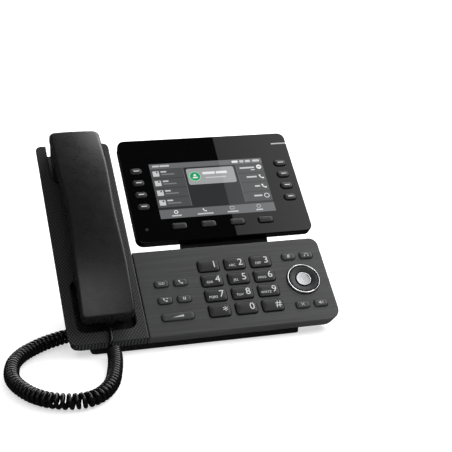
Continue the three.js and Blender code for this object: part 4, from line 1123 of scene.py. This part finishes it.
# ---- Shells, stand and inner parts ----
refined("display_back", BLACK_ABS, "display", "black_abs", 0.8, 3)
refined("base_shell", BLACK_ABS, "base", "black_abs", 0.4)
refined("foot_stand", BLACK_ABS, "base", "black_abs", 0.6, 3)
for i, centre in enumerate(((33.7, 16), (192.3, 18), (73, 126), (192.3, 126))):
    pad = turned(f"stand_pad_{i}", centre, [(5.2, -0.35), (5.7, -0.1), (5.8, 0.98)], TABLE, RUBBER, 40)
    finish(pad, "base", "silicone")
refined("hinge_bracket", BLACK_ABS, "base", "black_abs", 0.4)
refined("network_sockets", BLACK_ABS, "base", "black_abs", 0.2)
refined("hinge_pin", STEEL, "base", "steel", 0.2)
refined("cord_plug_base", CLEAR, "base", "clear_plug", 0.4)
for node, material in (("main_board", BOARD), ("key_mat", SILICONE), ("base_speaker", STEEL),
                       ("display_board", BOARD), ("handset_receiver", STEEL), ("handset_microphone", STEEL)):
    frame["nodes"][node].data.materials.clear()
    frame["nodes"][node].data.materials.append(material)


# ---- Studio: a white sweep, and soft boxes placed for what the glossy faces mirror ----
scene = bpy.context.scene
scene.view_settings.view_transform = "Standard"

world = bpy.data.worlds.new("studio")
scene.world = world
world.use_nodes = True
tree = world.node_tree
tree.nodes.clear()
rays = add(tree, "LightPath").outputs
backdrop = add(tree, "Background", {"Color": (1, 1, 1, 1), "Strength": 1.0})
room = add(tree, "Background", {"Color": (1, 1, 1, 1), "Strength": 0.55})
dark_corners = add(tree, "Background", {"Color": (1, 1, 1, 1), "Strength": 0.03})
lit = add(tree, "MixShader", {0: rays["Is Glossy Ray"], 1: room.outputs[0], 2: dark_corners.outputs[0]})
seen = add(tree, "MixShader", {0: rays["Is Camera Ray"], 1: lit.outputs[0], 2: backdrop.outputs[0]})
add(tree, "OutputWorld", {"Surface": seen.outputs[0]})


def soft_box(name, corners, dim, bright):
    """A glowing card, dim along its first side and bright along the opposite one. Not in the picture."""
    material = bpy.data.materials.new(name)
    material.use_nodes = True
    nodes = material.node_tree
    nodes.nodes.clear()
    across = add(nodes, "SeparateXYZ", {0: add(nodes, "TexCoord").outputs["UV"]}).outputs[0]
    glow = add(nodes, "Emission", {"Color": (1, 1, 1, 1), "Strength": ramp(nodes, across, dim, bright)})
    add(nodes, "OutputMaterial", {"Surface": glow.outputs[0]})
    card = add_mesh(name, [Vector(c) / MM for c in corners], [(0, 1, 2, 3)], Matrix.Identity(4), material)
    uv = card.data.uv_layers.new(name="across")
    for loop, place in zip(uv.data, ((0, 0), (0, 1), (1, 1), (1, 0))):
        loop.uv = place
    card.visible_camera = False
    return card


# Its left edge is what cuts the display's reflection into a black part and a grey part.
soft_box("right_soft_box", [(0.70, -1.05, 1.6), (0.20, 1.2, 1.6), (1.9, 1.6, 1.3), (2.2, -0.8, 1.3)],
         0.85, 5.5)
soft_box("front_soft_box", [(-0.1, -1.3, 1.5), (0.1, -2.2, 1.3), (-1.4, -2.2, 1.2), (-1.4, -1.3, 1.4)],
         0.6, 1.4)
soft_box("ear_soft_box", [(0.30, 0.55, 1.5), (0.30, 1.5, 1.5), (1.3, 1.5, 1.5), (1.3, 0.55, 1.5)], 5.0, 8.0)
soft_box("rear_soft_box", [(-1.3, 2.6, 0.5), (-1.3, 2.6, 1.9), (1.3, 2.6, 1.9), (1.3, 2.6, 0.5)], 2.5, 4.0)
soft_box("mouth_soft_box", [(0.45, -0.9, 1.6), (0.45, -1.7, 1.6), (-0.3, -1.7, 1.6), (-0.3, -0.9, 1.6)],
         1.4, 2.4)

floor_material, floor_tree, floor_shader, floor_place = new_material("white_paper_sweep")
floor_tree.links.new(blend_colours(floor_tree, noise(floor_tree, floor_place, 300), "#f4f4f4", "#f8f8f8"),
                     floor_shader.inputs["Base Color"])
floor_shader.inputs["Roughness"].default_value = 0.9
floor_shader.inputs["Specular IOR Level"].default_value = 0.1
floor_shader.inputs["Emission Color"].default_value = srgb("#ffffff")
floor_shader.inputs["Emission Strength"].default_value = 0.49
FLOOR = 6000
FLOOR_LEVEL = -0.4           # just under the rubber pads
floor_corners = [(x * FLOOR, y * FLOOR, FLOOR_LEVEL) for x, y in ((-1, -1), (1, -1), (1, 1), (-1, 1))]
floor = add_mesh("floor", floor_corners, [(0, 1, 2, 3)], Matrix.Identity(4), floor_material)
floor.visible_glossy = False
